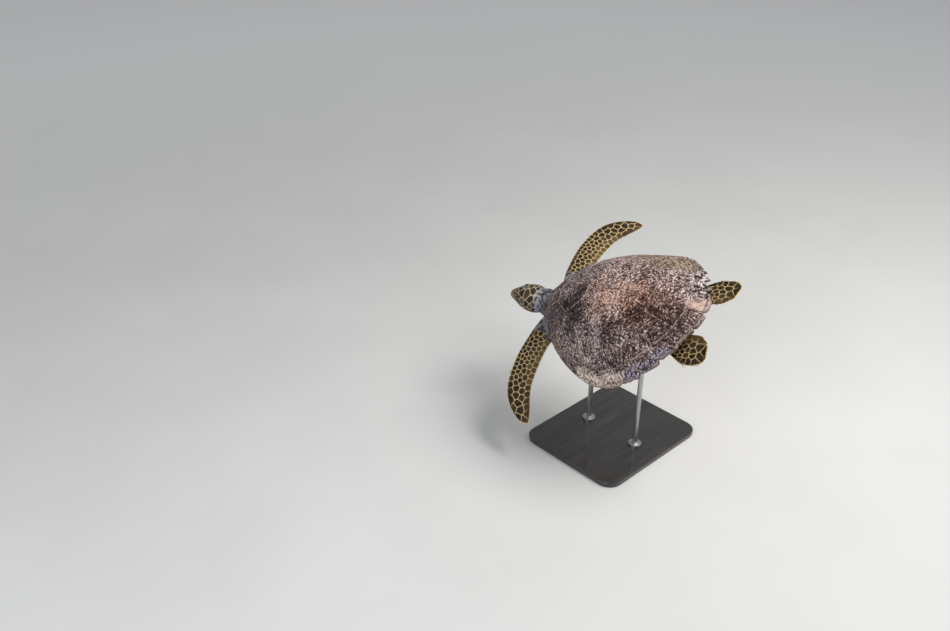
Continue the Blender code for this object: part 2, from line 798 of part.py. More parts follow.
def make_base(paint):
    width, depth, height = BASE_SIZE
    inner = (width - 2 * BASE_CHAMFER, depth - 2 * BASE_CHAMFER, BASE_CORNER - BASE_CHAMFER)
    rings = [
        rounded_rectangle(*inner, 0.0),
        rounded_rectangle(width, depth, BASE_CORNER, BASE_CHAMFER),
        rounded_rectangle(width, depth, BASE_CORNER, height - BASE_CHAMFER),
        rounded_rectangle(*inner, height),
    ]
    return make_object("stand_base", loft(rings), paint)


def make_rod(name, along, top, steel, plastron, trunk):
    """An upright rod with a round foot, trimmed to the slope of the plastron."""
    foot = BASE_SIZE[2] + GAP
    shoulder = foot + ROD_FOOT_HEIGHT
    profile = ((ROD_FOOT_RADIUS, foot), (ROD_FOOT_RADIUS, shoulder),
               (ROD_RADIUS, shoulder + ROD_FILLET), (ROD_RADIUS, top))
    sides = 20
    rings = []
    for radius, height in profile:
        angles = [2 * math.pi * k / sides for k in range(sides)]
        rings.append([Vector((radius * math.cos(angle), along + radius * math.sin(angle),
                              height)) for angle in angles])
    rod = make_object(name, loft(rings), steel)
    cut_clear(rod, plastron, trunk)
    return rod


def set_on_stand(pieces):
    pose = bpy.data.objects.new("turtle_pose", None)
    bpy.context.collection.objects.link(pose)
    spin = Matrix.Rotation(NOSE_DOWN, 4, "X") @ Matrix.Rotation(BANK_LEFT, 4, "Y")
    pose.matrix_world = Matrix.Translation((0, 0, SHELL_HEIGHT)) @ spin
    for piece in pieces:
        piece.parent = pose
    bpy.context.view_layer.update()


def main():
    clear_scene()
    horn = material("shell_horn", (0.30, 0.24, 0.20), 0.75)
    belly = material("plastron_horn", (0.72, 0.62, 0.42), 0.6)
    skin = material("scaled_skin", (0.10, 0.07, 0.045), 0.55)
    beak = material("beak_horn", (0.36, 0.26, 0.13), 0.45)
    eye = material("eye_glass", (0.02, 0.015, 0.01), 0.1)
    claw = material("claw_horn", (0.55, 0.42, 0.22), 0.45)
    paint = material("stand_paint", (0.09, 0.09, 0.10), 0.5)
    steel = material("stand_steel", (0.55, 0.55, 0.56), 0.3, 1.0)

    shell = make_shell()
    plates = make_carapace(shell, horn)
    trunk = make_trunk(skin)
    plastron = make_plastron(belly)
    head_pieces = make_head(skin, beak, eye)
    neck = make_neck(skin, trunk, shell, plastron, head_pieces[0])
    limbs = make_limbs(skin, claw, trunk, shell, plastron)
    tail = make_tail(skin, trunk, shell, plastron)
    remove_object(shell)

    set_on_stand([*plates, trunk, plastron, *head_pieces, neck, *limbs, tail])
    make_base(paint)
    for name, (along, top) in ROD_PLACES.items():
        make_rod(f"stand_rod_{name}", along, top, steel, plastron, trunk)


main()
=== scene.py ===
"""Looks of the hawksbill turtle display model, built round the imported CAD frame.

Shapes are worked out in the turtle's own frame, as in the CAD: +X is its left, +Y its tail
end, +Z its back, and the origin is the middle of the shell's length. Every mesh is then
turned onto the stand by one matrix. Lengths named "in shell lengths" are multiplied by
SHELL_LENGTH; every other length is in metres.
"""

import math
from collections import namedtuple

import bmesh
import bpy
import numpy as np
from mathutils import Matrix, Vector
from mathutils.bvhtree import BVHTree


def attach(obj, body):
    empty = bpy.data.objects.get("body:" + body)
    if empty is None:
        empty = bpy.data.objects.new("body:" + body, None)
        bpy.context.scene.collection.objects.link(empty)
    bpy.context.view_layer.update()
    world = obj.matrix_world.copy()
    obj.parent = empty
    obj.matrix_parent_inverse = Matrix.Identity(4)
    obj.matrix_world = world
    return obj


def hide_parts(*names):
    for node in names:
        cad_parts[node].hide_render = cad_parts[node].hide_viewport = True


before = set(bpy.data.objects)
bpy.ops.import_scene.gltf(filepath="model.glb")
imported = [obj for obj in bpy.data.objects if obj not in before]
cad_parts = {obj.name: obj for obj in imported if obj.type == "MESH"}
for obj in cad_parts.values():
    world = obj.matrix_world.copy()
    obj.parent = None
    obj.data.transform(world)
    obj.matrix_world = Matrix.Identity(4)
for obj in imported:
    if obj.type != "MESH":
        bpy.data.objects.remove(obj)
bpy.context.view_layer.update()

# ---- Sizes shared with the CAD ------------------------------------------------------

SHELL_LENGTH = 0.70
PLATE_THICKNESS = 0.006
EDGE_DEPTH = 0.012
EDGE_THICKENING = 6          # power of rho by which a plate thickens to its edge
GAP = 0.0004
NOSE_DOWN = math.radians(19.3)
BANK_LEFT = math.radians(34.2)
SHELL_HEIGHT = 0.535

# Carapace, in shell lengths
SHELL_WIDTH = 0.788
WIDEST_AT = 0.514
FRONT_FULLNESS = (1.88, 1.29)
REAR_FULLNESS = (1.99, 1.94)
RIM_FRONT_RISE = 0.025
RIM_FLANK_DROP = 0.087
RIM_REAR_RISE = 0.030
RIM_LOWEST_AT = 0.507
RIM_FLANK_SPREAD = 0.26
RIM_FRONT_SPREAD = 0.20
RIM_REAR_SPREAD = 0.18
DOME_HEIGHT = 0.192
DOME_TOP_AT = 0.403
DOME_POWER_FRONT = 2.48
DOME_POWER_SIDE = 2.37
DOME_POWER_REAR = 2.04
DOME_EDGE_POWER = 0.964
RIM_PLATE_LENGTHS = (0.62, 0.9, 1.0, 1.0, 1.05, 1.05, 1.1, 1.15, 1.15, 1.1, 1.05, 0.95, 0.8)
FIRST_TOOTHED_PLATE = 7
TOOTH_LENGTH = 0.011
SEAM_RHO = 0.875
SEAM_RHO_FRONT = 0.90
VERTEBRAL_SEAMS = (0.04, 0.225, 0.415, 0.60, 0.765, 0.912)
VERTEBRAL_NARROW = 0.078
VERTEBRAL_WIDE = 0.140
COSTAL_ENDS = (1.5, 4.5, 6.5, 8.5, 11.5)

# Body under the shell, in shell lengths but for the plastron's thickness
PLASTRON_DEPTH = 0.165
PLASTRON_LENGTH = 0.80
PLASTRON_WIDTH = 0.53
PLASTRON_MIDDLE = 0.475
PLASTRON_UPTURN = 0.045
PLASTRON_THICKNESS = 0.014

# Head and neck, in shell lengths
HEAD_LENGTH = 0.226
HEAD_STATIONS = (
    (0.00, 0.058, 0.044, 0.053),
    (0.14, 0.069, 0.052, 0.059),
    (0.34, 0.077, 0.058, 0.063),
    (0.52, 0.072, 0.057, 0.059),
    (0.66, 0.059, 0.050, 0.052),
    (0.78, 0.043, 0.037, 0.045),
    (0.90, 0.028, 0.018, 0.038),
    (0.97, 0.015, 0.002, 0.033),
    (1.00, 0.006, -0.012, 0.029),
)
NAPE = (-0.046, -0.027, -0.020)
HEAD_TURN = math.radians(6.0)
HEAD_RAISE = math.radians(27.0)
HEAD_ROLL = math.radians(-16.0)
MOUTH_HEIGHT = -0.020
EYE_AT = (0.60, 0.0475, 0.017)
EYE_RADIUS = 0.0165
NECK_ROOT = (0.10, 0.012, -0.070)
NECK_ROOT_HALF = (0.112, 0.068)
NECK_NAPE_HALF = (0.074, 0.058)

# Limbs and tail, in shell lengths
HIND_EDGE_THINNING = 0.45
FRONT_MIDDLE = 0.119
FRONT_ELBOW_AT = 0.16
FRONT_ELBOW_BEND = 0.80
FRONT_WRIST_AT = 0.19
FRONT_WRIST_BEND = 1.86
FRONT_HALF_WIDTH = 0.070
FRONT_TAPER = (0.27, 0.15)
FRONT_ROOT = {"left": (0.165, 0.245, -0.030), "right": (0.180, 0.245, -0.030)}
FRONT_SPAN = (-0.20, 0.419)
FRONT_THICKNESS = (0.034, 0.0035)
FRONT_DOWN = math.radians(13.0)
FRONT_PITCH = {"left": math.radians(23.4), "right": math.radians(32.9)}
FRONT_SWEEP = {"left": 0.0, "right": math.radians(4.1)}
HIND_ANKLE_HALF_WIDTH = 0.040
HIND_PADDLE_WIDENING = 0.044
HIND_PADDLE_FROM_ANKLE = 0.10
HIND_MIDDLE_SLOPE = 0.204
HIND_TAPER = (0.139, 0.085)
HIND_ROOT = (0.840, 0.153, -0.050)
HIND_SPAN = (-0.10, 0.2225)
HIND_THICKNESS = (0.026, 0.004)
HIND_DOWN = math.radians(9.8)
HIND_PITCH = {"left": 0.0, "right": math.radians(5.0)}
HIND_SWEEP = {"left": math.radians(100.0), "right": math.radians(91.0)}
TIP_ROUNDNESS = 2.4
TAIL_ROOT = (0.895, 0.0, -0.060)
TAIL_TIP = (1.000, 0.004, -0.012)
TAIL_RADIUS = (0.042, 0.007)
TAIL_FLATNESS = (1.15, 0.85)

# ---- Sizes of the looks --------------------------------------------------------------

COAT_DEPTH = 0.0012          # how far the skin lies inside the CAD's flesh
SKIN_VOXEL = 0.0021
THINNEST_BLADE = 0.0025      # half the skin's thickness at a flipper's edge, in shell lengths

POSE = (Matrix.Translation((0, 0, SHELL_HEIGHT)) @ Matrix.Rotation(NOSE_DOWN, 4, "X")
        @ Matrix.Rotation(BANK_LEFT, 4, "Y"))
SIDES = (("left", 1), ("right", -1))


# ---- Arrays, noise and meshes --------------------------------------------------------

def smoothstep(low, high, value):
    share = np.clip((np.asarray(value, float) - low) / (high - low), 0.0, 1.0)
    return share * share * (3 - 2 * share)


def toward(first, second, share):
    """A value a share of the way from the first to the second."""
    return first + (second - first) * share


def columns(*values):
    """Rows of numbers from one array, or one number, for each column."""
    return np.stack(np.broadcast_arrays(*values), axis=-1)


def turns(count):
    """Evenly spaced angles of one whole turn."""
    return np.arange(count) / count * 2 * math.pi


def lattice(cells, seed):
    """A repeatable random number from 0 to 1 for each integer cell."""
    mixed = (cells[..., 0] * 374761393 + cells[..., 1] * 668265263
             + cells[..., 2] * 2147483647 + seed * 144665) & 0xFFFFFFFF
    mixed = ((mixed ^ (mixed >> 13)) * 1274126177) & 0xFFFFFFFF
    return ((mixed ^ (mixed >> 16)) & 0xFFFF) / 0xFFFF


def noise(points, size, seed=0):
    """Smooth value noise from -1 to 1, in cells of the given size; each seed has its own."""
    scaled = np.asarray(points, float) / size
    base = np.floor(scaled).astype(np.int64)
    share = scaled - base
    share = share * share * (3 - 2 * share)
    total = np.zeros(len(scaled))
    for corner in range(8):
        step = np.array([corner & 1, corner >> 1 & 1, corner >> 2 & 1])
        weight = np.prod(np.where(step, share, 1 - share), axis=1)
        total += weight * lattice(base + step, seed)
    return total * 2 - 1


def layered_noise(points, size, octaves, seed=0):
    total = np.zeros(len(points))
    for level in range(octaves):
        total += noise(points, size / 2 ** level, seed + level) / 2 ** level
    return total / (2 - 2 ** (1 - octaves))


def to_world(points):
    matrix = np.array(POSE)
    return points @ matrix[:3, :3].T + matrix[:3, 3]


def at(back, left, up):
    """Places in the turtle's frame, given in shell lengths."""
    return columns(left, np.asarray(back) - 0.5, up) * SHELL_LENGTH


def plan_places(points):
    """Back and left, in shell lengths, of places in the turtle's frame."""
    return points[:, 1] / SHELL_LENGTH + 0.5, points[:, 0] / SHELL_LENGTH


def new_object(name, data):
    made = bpy.data.objects.new(name, data)
    bpy.context.collection.objects.link(made)
    return made


def add_attribute(mesh, name, values):
    """Store one number, or one vector, for each vertex."""
    values = np.asarray(values, float)
    kind = "FLOAT" if values.ndim == 1 else "FLOAT_VECTOR"
    layer = mesh.attributes.new(name, kind, "POINT")
    layer.data.foreach_set("value" if values.ndim == 1 else "vector", values.ravel())


def new_piece(name, points, faces, material, slot, replaces=(), **attributes):
    """A piece of the turtle from points in its frame; it rides on the root body."""
    mesh = bpy.data.meshes.new(name)
    mesh.from_pydata(to_world(points), [], faces)
    mesh.validate()
    piece = new_object(name, mesh)
    mesh.materials.append(material)
    mesh.polygons.foreach_set("use_smooth", [True] * len(mesh.polygons))
    add_attribute(mesh, "place", points / SHELL_LENGTH)
    for key, values in attributes.items():
        add_attribute(mesh, key, values)
    face_outwards(mesh)
    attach(piece, "root")
    if replaces:
        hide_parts(*replaces)
    return piece


def face_outwards(mesh):
    builder = bmesh.new()
    builder.from_mesh(mesh)
    bmesh.ops.recalc_face_normals(builder, faces=builder.faces)
    builder.to_mesh(mesh)
    builder.free()


def ring_faces(count, low, high):
    """Quads between two rings of points whose first indices are given."""
    return [(low + i, low + (i + 1) % count, high + (i + 1) % count, high + i)
            for i in range(count)]


def fan_faces(count, ring, tip):
    """Triangles between a ring of points and a single one."""
    return [(ring + i, ring + (i + 1) % count, tip) for i in range(count)]


def loft_faces(ring_count, count):
    """Faces of a closed body through rings of equal length, capped by polygons."""
    faces = []
    for k in range(ring_count - 1):
        faces += ring_faces(count, k * count, (k + 1) * count)
    faces.append(tuple(range(count)))
    faces.append(tuple(range((ring_count - 1) * count, ring_count * count)))
    return faces


# ---- Carapace surface ----------------------------------------------------------------

def half_width(back):
    """Half the shell's width at places along it."""
    front_power, front_root = FRONT_FULLNESS
    rear_power, rear_root = REAR_FULLNESS
    front = np.clip((WIDEST_AT - back) / WIDEST_AT, 0, 1)
    rear = np.clip((back - WIDEST_AT) / (1 - WIDEST_AT), 0, 1)
    return SHELL_WIDTH / 2 * np.where(
        back < WIDEST_AT,
        np.maximum(0, 1 - front ** front_power) ** (1 / front_root),
        np.maximum(0, 1 - rear ** rear_power) ** (1 / rear_root))


def rim_height(back):
    """Height of the rim: raised at both ends and low along the flanks."""
    flank = -RIM_FLANK_DROP * np.exp(-((back - RIM_LOWEST_AT) / RIM_FLANK_SPREAD) ** 2)
    front = RIM_FRONT_RISE * np.exp(-(back / RIM_FRONT_SPREAD) ** 2)
    rear = RIM_REAR_RISE * np.exp(-((back - 1) / RIM_REAR_SPREAD) ** 2)
    return flank + front + rear


def rim_plan(turn):
    """The rim in plan; turn goes from the nuchal plate (0) by the left flank to the tail."""
    back = (1 - np.cos(turn)) / 2
    return back, np.copysign(half_width(back), np.sin(turn))


TURN_TABLE = np.linspace(-math.pi, math.pi, 8 * 360 + 1)     # eight for each degree
RIM_BACKS, RIM_LEFTS = rim_plan(TURN_TABLE)
BEARING_TABLE = np.arctan2(RIM_LEFTS, DOME_TOP_AT - RIM_BACKS)
BEARING_TABLE[0], BEARING_TABLE[-1] = -math.pi, math.pi


def shell_polar(back, left):
    """Turn and rho of places in plan: rho is 0 at the dome's top and 1 at the rim."""
    turn = np.interp(np.arctan2(left, DOME_TOP_AT - back), BEARING_TABLE, TURN_TABLE)
    rim_back, rim_left = rim_plan(turn)
    reach = np.hypot(back - DOME_TOP_AT, left)
    return turn, reach / np.maximum(1e-9, np.hypot(rim_back - DOME_TOP_AT, rim_left))


def shell_height(back, left):
    """Height of the shell's surface over places in plan."""
    turn, rho = shell_polar(back, left)
    rim_back, _ = rim_plan(turn)
    toward_end = np.cos(turn)
    end_power = np.where(toward_end > 0, DOME_POWER_FRONT, DOME_POWER_REAR)
    power = toward(DOME_POWER_SIDE, end_power, toward_end ** 2)
    profile = (1 - np.minimum(rho, 1.0) ** power) ** DOME_EDGE_POWER
    height = rim_height(rim_back)
    return toward(height, DOME_HEIGHT, profile)


def shell_plan(turn, rho):
    """Back and left of places told by their turn and rho."""
    rim_back, rim_left = rim_plan(turn)
    return toward(DOME_TOP_AT, rim_back, rho), rim_left * rho


def plate_depth(rho):
    """How far a plate's underside lies under the shell's surface."""
    return toward(PLATE_THICKNESS, EDGE_DEPTH, np.minimum(rho, 1) ** EDGE_THICKENING)


def rim_turns():
    """Turns at the rim plates' ends, on the left side, front to back."""
    half = TURN_TABLE[len(TURN_TABLE) // 2:]
    back, left = rim_plan(half)
    lengths = np.concatenate(([0.0], np.cumsum(np.hypot(np.diff(back), np.diff(left)))))
    ends = np.concatenate(([0.0], np.cumsum(RIM_PLATE_LENGTHS))) / sum(RIM_PLATE_LENGTHS)
    return np.interp(ends * lengths[-1], lengths, half)


PLATE_TURNS = rim_turns()


def plate_turn(position):
    """Turn at a position counted in rim plates; 1 is the nuchal plate's side seam."""
    return np.interp(position, np.arange(len(PLATE_TURNS)), PLATE_TURNS)


def seam_rho(turn):
    """Rho of the seam between the rim plates and those of the back."""
    return toward(SEAM_RHO, SEAM_RHO_FRONT, np.maximum(0.0, np.cos(turn)) ** 2)


# ---- Horn plates ---------------------------------------------------------------------

TAIL_PLATE = len(RIM_PLATE_LENGTHS) - 1      # the last on the rim, beside the tail
LAST_VERTEBRAL = len(VERTEBRAL_SEAMS) - 2
LAST_COSTAL = len(COSTAL_ENDS) - 2
RIM_STEPS = 32               # of a rim plate's free edge
SEAM_STEPS = 10              # of the rim seam, for each rim plate
OUTLINE_STEP = 0.006         # spacing of a plate's outline points, in shell lengths
TOOTH_PEAK = 0.82            # where a rim plate's tooth stands out most
TOOTH_PLATES = 3             # plates over which the teeth grow to their full length
TAIL_LOBE = 0.020            # of the two plates over the tail, and the notch between them
TAIL_NOTCH = 0.012
CHIPS = {1: (0.0045, 0.25), -1: (0.0160, -0.45)}    # depth and lean of the wear on each side
WORN_FROM = (5.5, 8.5)       # rim plates over which the wear begins
WORN_UNTIL = (12.2, 11.6)    # and over which it ends again, before the tail
BITTEN_AT = 9.6              # the bite in the right rear rim, counted in rim plates
BITE_DEPTH = 0.014
HIND_OVERLAP = 0.012         # how far a plate's hind edge lies over its neighbour
SIDE_OVERLAP = 0.0016        # and how far every edge does
OVERLAP_RIPPLE = 0.0016
HIND_FACING = (0.15, 0.8)    # how far an edge faces the growth to count as a hind edge
FREE_RIM = (0.95, 0.98)      # rho at which a rim plate's edge is free and overlaps nothing
HIND_LIFT = 0.0028           # of a plate's hind edge over the shell, as a shingle
FRONT_SINK = 0.0012
KEEL_HEIGHT = 0.0030         # the low ridge along the middle of the back
KEEL_WIDTH = 0.018
PLATE_RINGS = 20
EDGE_ROUND = 0.0011
EDGE_PROFILE = ((1.4, 0.0), (0.5, 0.25), (0.0, 1.0))    # in and down, in EDGE_ROUNDs
UNDERSIDE_SHARES = (1.0, 0.9, 0.5)
UNDERSIDE_RAISE = 0.0004
GROWTH_START = 0.15          # of a plate's length, in front of its middle
LONGEST_SHIFT = 20           # of the growth's noise from plate to plate


def seam_run(start, end):
    """Corners along the rim seam between two positions counted in rim plates."""
    steps = max(2, round((end - start) * SEAM_STEPS))
    turn = plate_turn(np.linspace(start, end, steps + 1))
    back, left = shell_plan(turn, seam_rho(turn))
    return list(zip(back, left))


def lobe(index, share):
    """Outline of a rim plate's free edge: a rounded tooth that grows towards the tail."""
    growth = np.clip((index - FIRST_TOOTHED_PLATE + 1) / TOOTH_PLATES, 0.0, 1.0)
    rise = (share / TOOTH_PEAK) ** 1.6
    fall = 1 - (np.maximum(0.0, share - TOOTH_PEAK) / (1 - TOOTH_PEAK)) ** 2.2 * 0.95
    shape = np.where(share <= TOOTH_PEAK, rise, np.where(share < 1, fall, 0.05))
    notch = 0.35 * np.exp(-((share - 1) / 0.05) ** 2) + 0.25 * np.exp(-(share / 0.06) ** 2)
    return TOOTH_LENGTH * growth * (1.15 * shape - notch)


def wear(index, share, side):
    """How chipped a rim plate's free edge is: hardly in front, raggedly at the right rear."""
    position = index + share
    place = columns(position * 4.2, side * 7.3, 0.0)
    chips = noise(place, 1.0, 61) + 0.5 * noise(place, 0.45, 62)
    depth, lean = CHIPS[side]
    bitten = BITE_DEPTH * np.exp(-(position - BITTEN_AT) ** 2) if side < 0 else 0.0
    worn = depth * smoothstep(*WORN_FROM, position) * (chips + lean)
    return (worn - bitten) * smoothstep(*WORN_UNTIL, position)


def tail_lobe(share):
    """The two plates over the tail: full rounded lobes with a notch between them."""
    lobe_share = np.sqrt(np.maximum(0.0, 1 - (2 * share - 0.92) ** 4))
    return TAIL_LOBE * lobe_share - TAIL_NOTCH * smoothstep(0.90, 1.0, share)


def rim_plate_outline(index, side):
    """Outline of a left rim plate, with the wear of the side that it is made for."""
    share = np.linspace(1.0, 0.0, RIM_STEPS + 1)
    turn = plate_turn(index + share)
    rim_back, rim_left = rim_plan(turn)
    length = np.hypot(rim_back - DOME_TOP_AT, rim_left)
    free_edge = tail_lobe(share) if index == TAIL_PLATE else lobe(index, share)
    back, left = shell_plan(turn, 1 + (free_edge + wear(index, share, side)) / length)
    return seam_run(index, index + 1) + list(zip(back, left))


def vertebral_outline(index):
    """Left half of a vertebral plate, from the midline at its front to that at its rear."""
    front = VERTEBRAL_SEAMS[index]
    rear = VERTEBRAL_SEAMS[index + 1]
    if index == 0:
        return [*seam_run(0.0, COSTAL_ENDS[0]), (rear, VERTEBRAL_NARROW), (rear, 0.0)]
    if index == LAST_VERTEBRAL:
        return [(front, 0.0), (front, VERTEBRAL_NARROW), *seam_run(COSTAL_ENDS[-1], TAIL_PLATE + 1)]
    return [(front, 0.0), (front, VERTEBRAL_NARROW), ((front + rear) / 2, VERTEBRAL_WIDE),
            (rear, VERTEBRAL_NARROW), (rear, 0.0)]


def costal_outline(index):
    """A left costal plate, from the rim seam to its corners on the vertebral plates."""
    corners = [(VERTEBRAL_SEAMS[index + 1], VERTEBRAL_NARROW)]
    if index > 0:
        middle = (VERTEBRAL_SEAMS[index] + VERTEBRAL_SEAMS[index + 1]) / 2
        corners.append((middle, VERTEBRAL_WIDE))
    if index < LAST_COSTAL:
        middle = (VERTEBRAL_SEAMS[index + 1] + VERTEBRAL_SEAMS[index + 2]) / 2
        corners.insert(0, (middle, VERTEBRAL_WIDE))
    return seam_run(COSTAL_ENDS[index], COSTAL_ENDS[index + 1]) + corners


def mirrored(points):
    return [(back, -left) for back, left in reversed(points)]


def whole(half):
    """Join a left half outline, which starts and ends on the midline, to its mirror."""
    return half + [corner for corner in mirrored(half) if abs(corner[1]) > 1e-6]


def resampled(points, step):
    """A closed outline with evenly spaced points."""
    loop = np.array([*points, points[0]])
    lengths = np.concatenate(([0.0], np.cumsum(np.hypot(*np.diff(loop, axis=0).T))))
    count = max(24, int(lengths[-1] / step))
    wanted = np.arange(count) / count * lengths[-1]
    return columns(*(np.interp(wanted, lengths, column) for column in loop.T))


def outline_normals(loop):
    """Outward directions of a closed outline in plan."""
    along = np.roll(loop, -1, axis=0) - np.roll(loop, 1, axis=0)
    along /= np.maximum(1e-12, np.linalg.norm(along, axis=1))[:, None]
    area = np.sum(loop[:, 0] * np.roll(loop[:, 1], -1) - np.roll(loop[:, 0], -1) * loop[:, 1])
    return columns(along[:, 1], -along[:, 0]) * (1.0 if area > 0 else -1.0)


def growth_direction(kind, side):
    """The way a plate's free edge points, in plan."""
    outward = {"vertebral": 0.0, "nuchal": 0.0, "costal": 0.55, "marginal": 0.35}[kind]
    direction = np.array([1.0, outward * side])
    return direction / np.linalg.norm(direction)


def overlapped(loop, direction, free_rim):
    """Push the hind edge of a plate out over its neighbours, a little unevenly."""
    back, left = loop.T
    normal = outline_normals(loop)
    facing = smoothstep(*HIND_FACING, normal @ direction)
    ragged = 1 + 0.35 * noise(columns(back * 60, left * 60, 0.0), 1.0, 5)
    _, rho = shell_polar(back, left)
    on_rim = smoothstep(*FREE_RIM, rho) if free_rim else np.zeros(len(loop))
    reach = (SIDE_OVERLAP + HIND_OVERLAP * facing * ragged) * (1 - on_rim)
    ripple = OVERLAP_RIPPLE * noise(columns(back * 90, left * 90, 1.0), 1.0, 9)
    return loop + normal * (reach + ripple * (1 - 0.3 * on_rim))[:, None]


# Darker and paler patches of the overgrown back: place back and left, size, how pale
PATCHES = (
    (0.370, 0.050, 0.060, -1.0), (0.300, 0.120, 0.035, -0.8), (0.725, 0.105, 0.060, -1.0),
    (0.800, 0.060, 0.040, -0.6), (0.610, 0.215, 0.045, -0.9), (0.375, 0.180, 0.060, -1.1),
    (0.230, 0.060, 0.040, -0.5), (0.480, 0.120, 0.030, -0.5), (0.860, 0.180, 0.055, -0.8),
    (0.620, -0.020, 0.070, 0.5), (0.690, -0.110, 0.070, -0.5), (0.540, 0.160, 0.030, 1.0),
    (0.900, 0.110, 0.100, -1.1), (0.440, 0.260, 0.060, 0.5), (0.540, 0.075, 0.085, 1.0),
    (0.080, 0.150, 0.120, -0.5),
)
PATCH_DRIFT = 0.012          # metres that a patch's outline wanders
PATCH_DRIFT_SIZE = 0.030


def stains(points):
    """How much paler (or darker, below 0) the growth on the shell is."""
    drift = columns(noise(points, PATCH_DRIFT_SIZE, 81), noise(points, PATCH_DRIFT_SIZE, 82), 0.0)
    drifted_back, drifted_left = plan_places(points + drift * PATCH_DRIFT)
    total = np.zeros(len(points))
    for back, left, size, strength in PATCHES:
        away = np.hypot(drifted_back - back, drifted_left - left)
        total += strength * np.exp(-(away / size) ** 2)
    return total


class Plate:
    """One horn plate in plan: its outline, the spokes out to it and the way it grows."""

    def __init__(self, outline, kind, side):
        self.keeled = kind == "vertebral"
        self.direction = growth_direction(kind, side)
        loop = resampled(outline if side >= 0 else mirrored(outline), OUTLINE_STEP)
        loop = overlapped(loop, self.direction, kind in ("marginal", "nuchal"))
        self.count = len(loop)
        self.centre = loop.mean(axis=0)
        self.spokes = loop - self.centre
        self.lengths = np.linalg.norm(self.spokes, axis=1) * SHELL_LENGTH
        along = self.spokes @ self.direction
        self.front = along.min()
        self.length = along.max() - along.min()

    def plan(self, share):
        """Places a share of the way out on each spoke; one share alone gives the middle."""
        return self.centre + self.spokes[:len(share)] * share[:, None]

    def top(self, plan):
        """The shell's surface, tilted like a shingle, with its keel and a crust of growth."""
        back, left = plan.T
        share = np.clip(((plan - self.centre) @ self.direction - self.front) / self.length, 0, 1)
        lift = toward(-FRONT_SINK, HIND_LIFT, share ** 1.5)
        keel = KEEL_HEIGHT * np.exp(-(left / KEEL_WIDTH) ** 2) * self.keeled
        points = at(back, left, shell_height(back, left))
        crust = (0.0007 * layered_noise(points, 0.030, 3, 11) + 0.0004 * noise(points, 0.006, 15)
                 + 0.0010 * np.maximum(0, noise(points, 0.014, 21) - 0.45))
        points[:, 2] += lift + keel + crust
        return points

    def rings(self):
        """Shares of the way out of the top's rings, and their drops at the rounded edge."""
        shares = (np.arange(1, PLATE_RINGS) / PLATE_RINGS) ** 0.9
        rings = [(np.zeros(1), 0.0)] + [(np.full(self.count, share), 0.0) for share in shares]
        return rings + [(1 - EDGE_ROUND * inward / self.lengths, EDGE_ROUND * down)
                        for inward, down in EDGE_PROFILE]

    def growth(self, plan, shift):
        """The way, moved by the plate's own shift, and the reach from where growth began."""
        away = plan - (self.centre - self.direction * GROWTH_START * self.length)
        reach = np.linalg.norm(away, axis=1)
        return np.column_stack([away / np.maximum(reach, 1e-6)[:, None] + shift, reach])

    def inset(self, share):
        """How far in from the edge the places on a ring are."""
        return (1 - share) * (self.lengths if len(share) > 1 else self.lengths.mean())

    def underside(self):
        rows = []
        for share in UNDERSIDE_SHARES:
            back, left = self.plan(np.full(self.count, share)).T
            _, rho = shell_polar(back, left)
            points = at(back, left, shell_height(back, left))
            points[:, 2] -= plate_depth(rho) - UNDERSIDE_RAISE
            rows.append(points)
        return rows + [rows[-1].mean(axis=0, keepdims=True)]


def plate_piece(node, outline, kind, side, material):
    """One horn plate as a closed body: a domed top, a rounded edge and a plain underside."""
    name = "scute_" + node
    plate = Plate(outline, kind, side)
    shift = np.random.default_rng(sum(map(ord, name))).random(2) * LONGEST_SHIFT
    rows, ray, edge = [], [], []
    for share, drop in plate.rings():
        plan = plate.plan(share)
        rows.append(plate.top(plan) - (0, 0, drop))
        ray.append(plate.growth(plan, shift))
        edge.append(plate.inset(share))
    top_count = sum(map(len, rows))
    rows += plate.underside()
    points = np.concatenate(rows)

    count = plate.count
    faces = fan_faces(count, 1, 0)
    for low in range(1, len(points) - count - 1, count):
        faces += ring_faces(count, low, low + count)
    last = len(points) - 1
    faces += fan_faces(count, last - count, last)

    turn, rho = shell_polar(*plan_places(points))
    under = np.arange(len(points)) >= top_count + count
    below = len(points) - top_count
    new_piece(name, points, faces, material, "shell_horn", (node,),
              shell=columns(turn / math.pi, rho, under), stain=stains(points),
              ray=np.concatenate([*ray, np.zeros((below, 3))]),
              edge=np.concatenate([*edge, np.zeros(below)]))


def make_carapace(horn):
    plate_piece("nuchal", whole(rim_plate_outline(0, 1)), "nuchal", 0, horn)
    for index in range(1, TAIL_PLATE + 1):
        node = f"marginal_{index}" if index < TAIL_PLATE else "supracaudal"
        for name, side in SIDES:
            plate_piece(f"{node}_{name}", rim_plate_outline(index, side), "marginal", side, horn)
    for index in range(LAST_VERTEBRAL + 1):
        plate_piece(f"vertebral_{index + 1}", whole(vertebral_outline(index)), "vertebral", 0, horn)
    for index in range(LAST_COSTAL + 1):
        for name, side in SIDES:
            plate_piece(f"costal_{index + 1}_{name}", costal_outline(index), "costal", side, horn)


# ---- Plastron ------------------------------------------------------------------------

PLASTRON_SIDES = 192
PLASTRON_RINGS = 72
PLASTRON_SEAMS = (-0.78, -0.40, 0.02, 0.36, 0.68)   # across it, as shares of its half length
PLASTRON_EDGE = ((0.5, 1.004), (1.0, 0.995))        # shares of its thickness, and reaches
MIDLINE_SEAM = 0.012         # half widths, as shares of the plastron's half size
CROSS_SEAM = 0.007
SEAM_GROOVE = 0.0009
RIDGE_HEIGHT = 0.00088
RIDGE_AT = 0.45


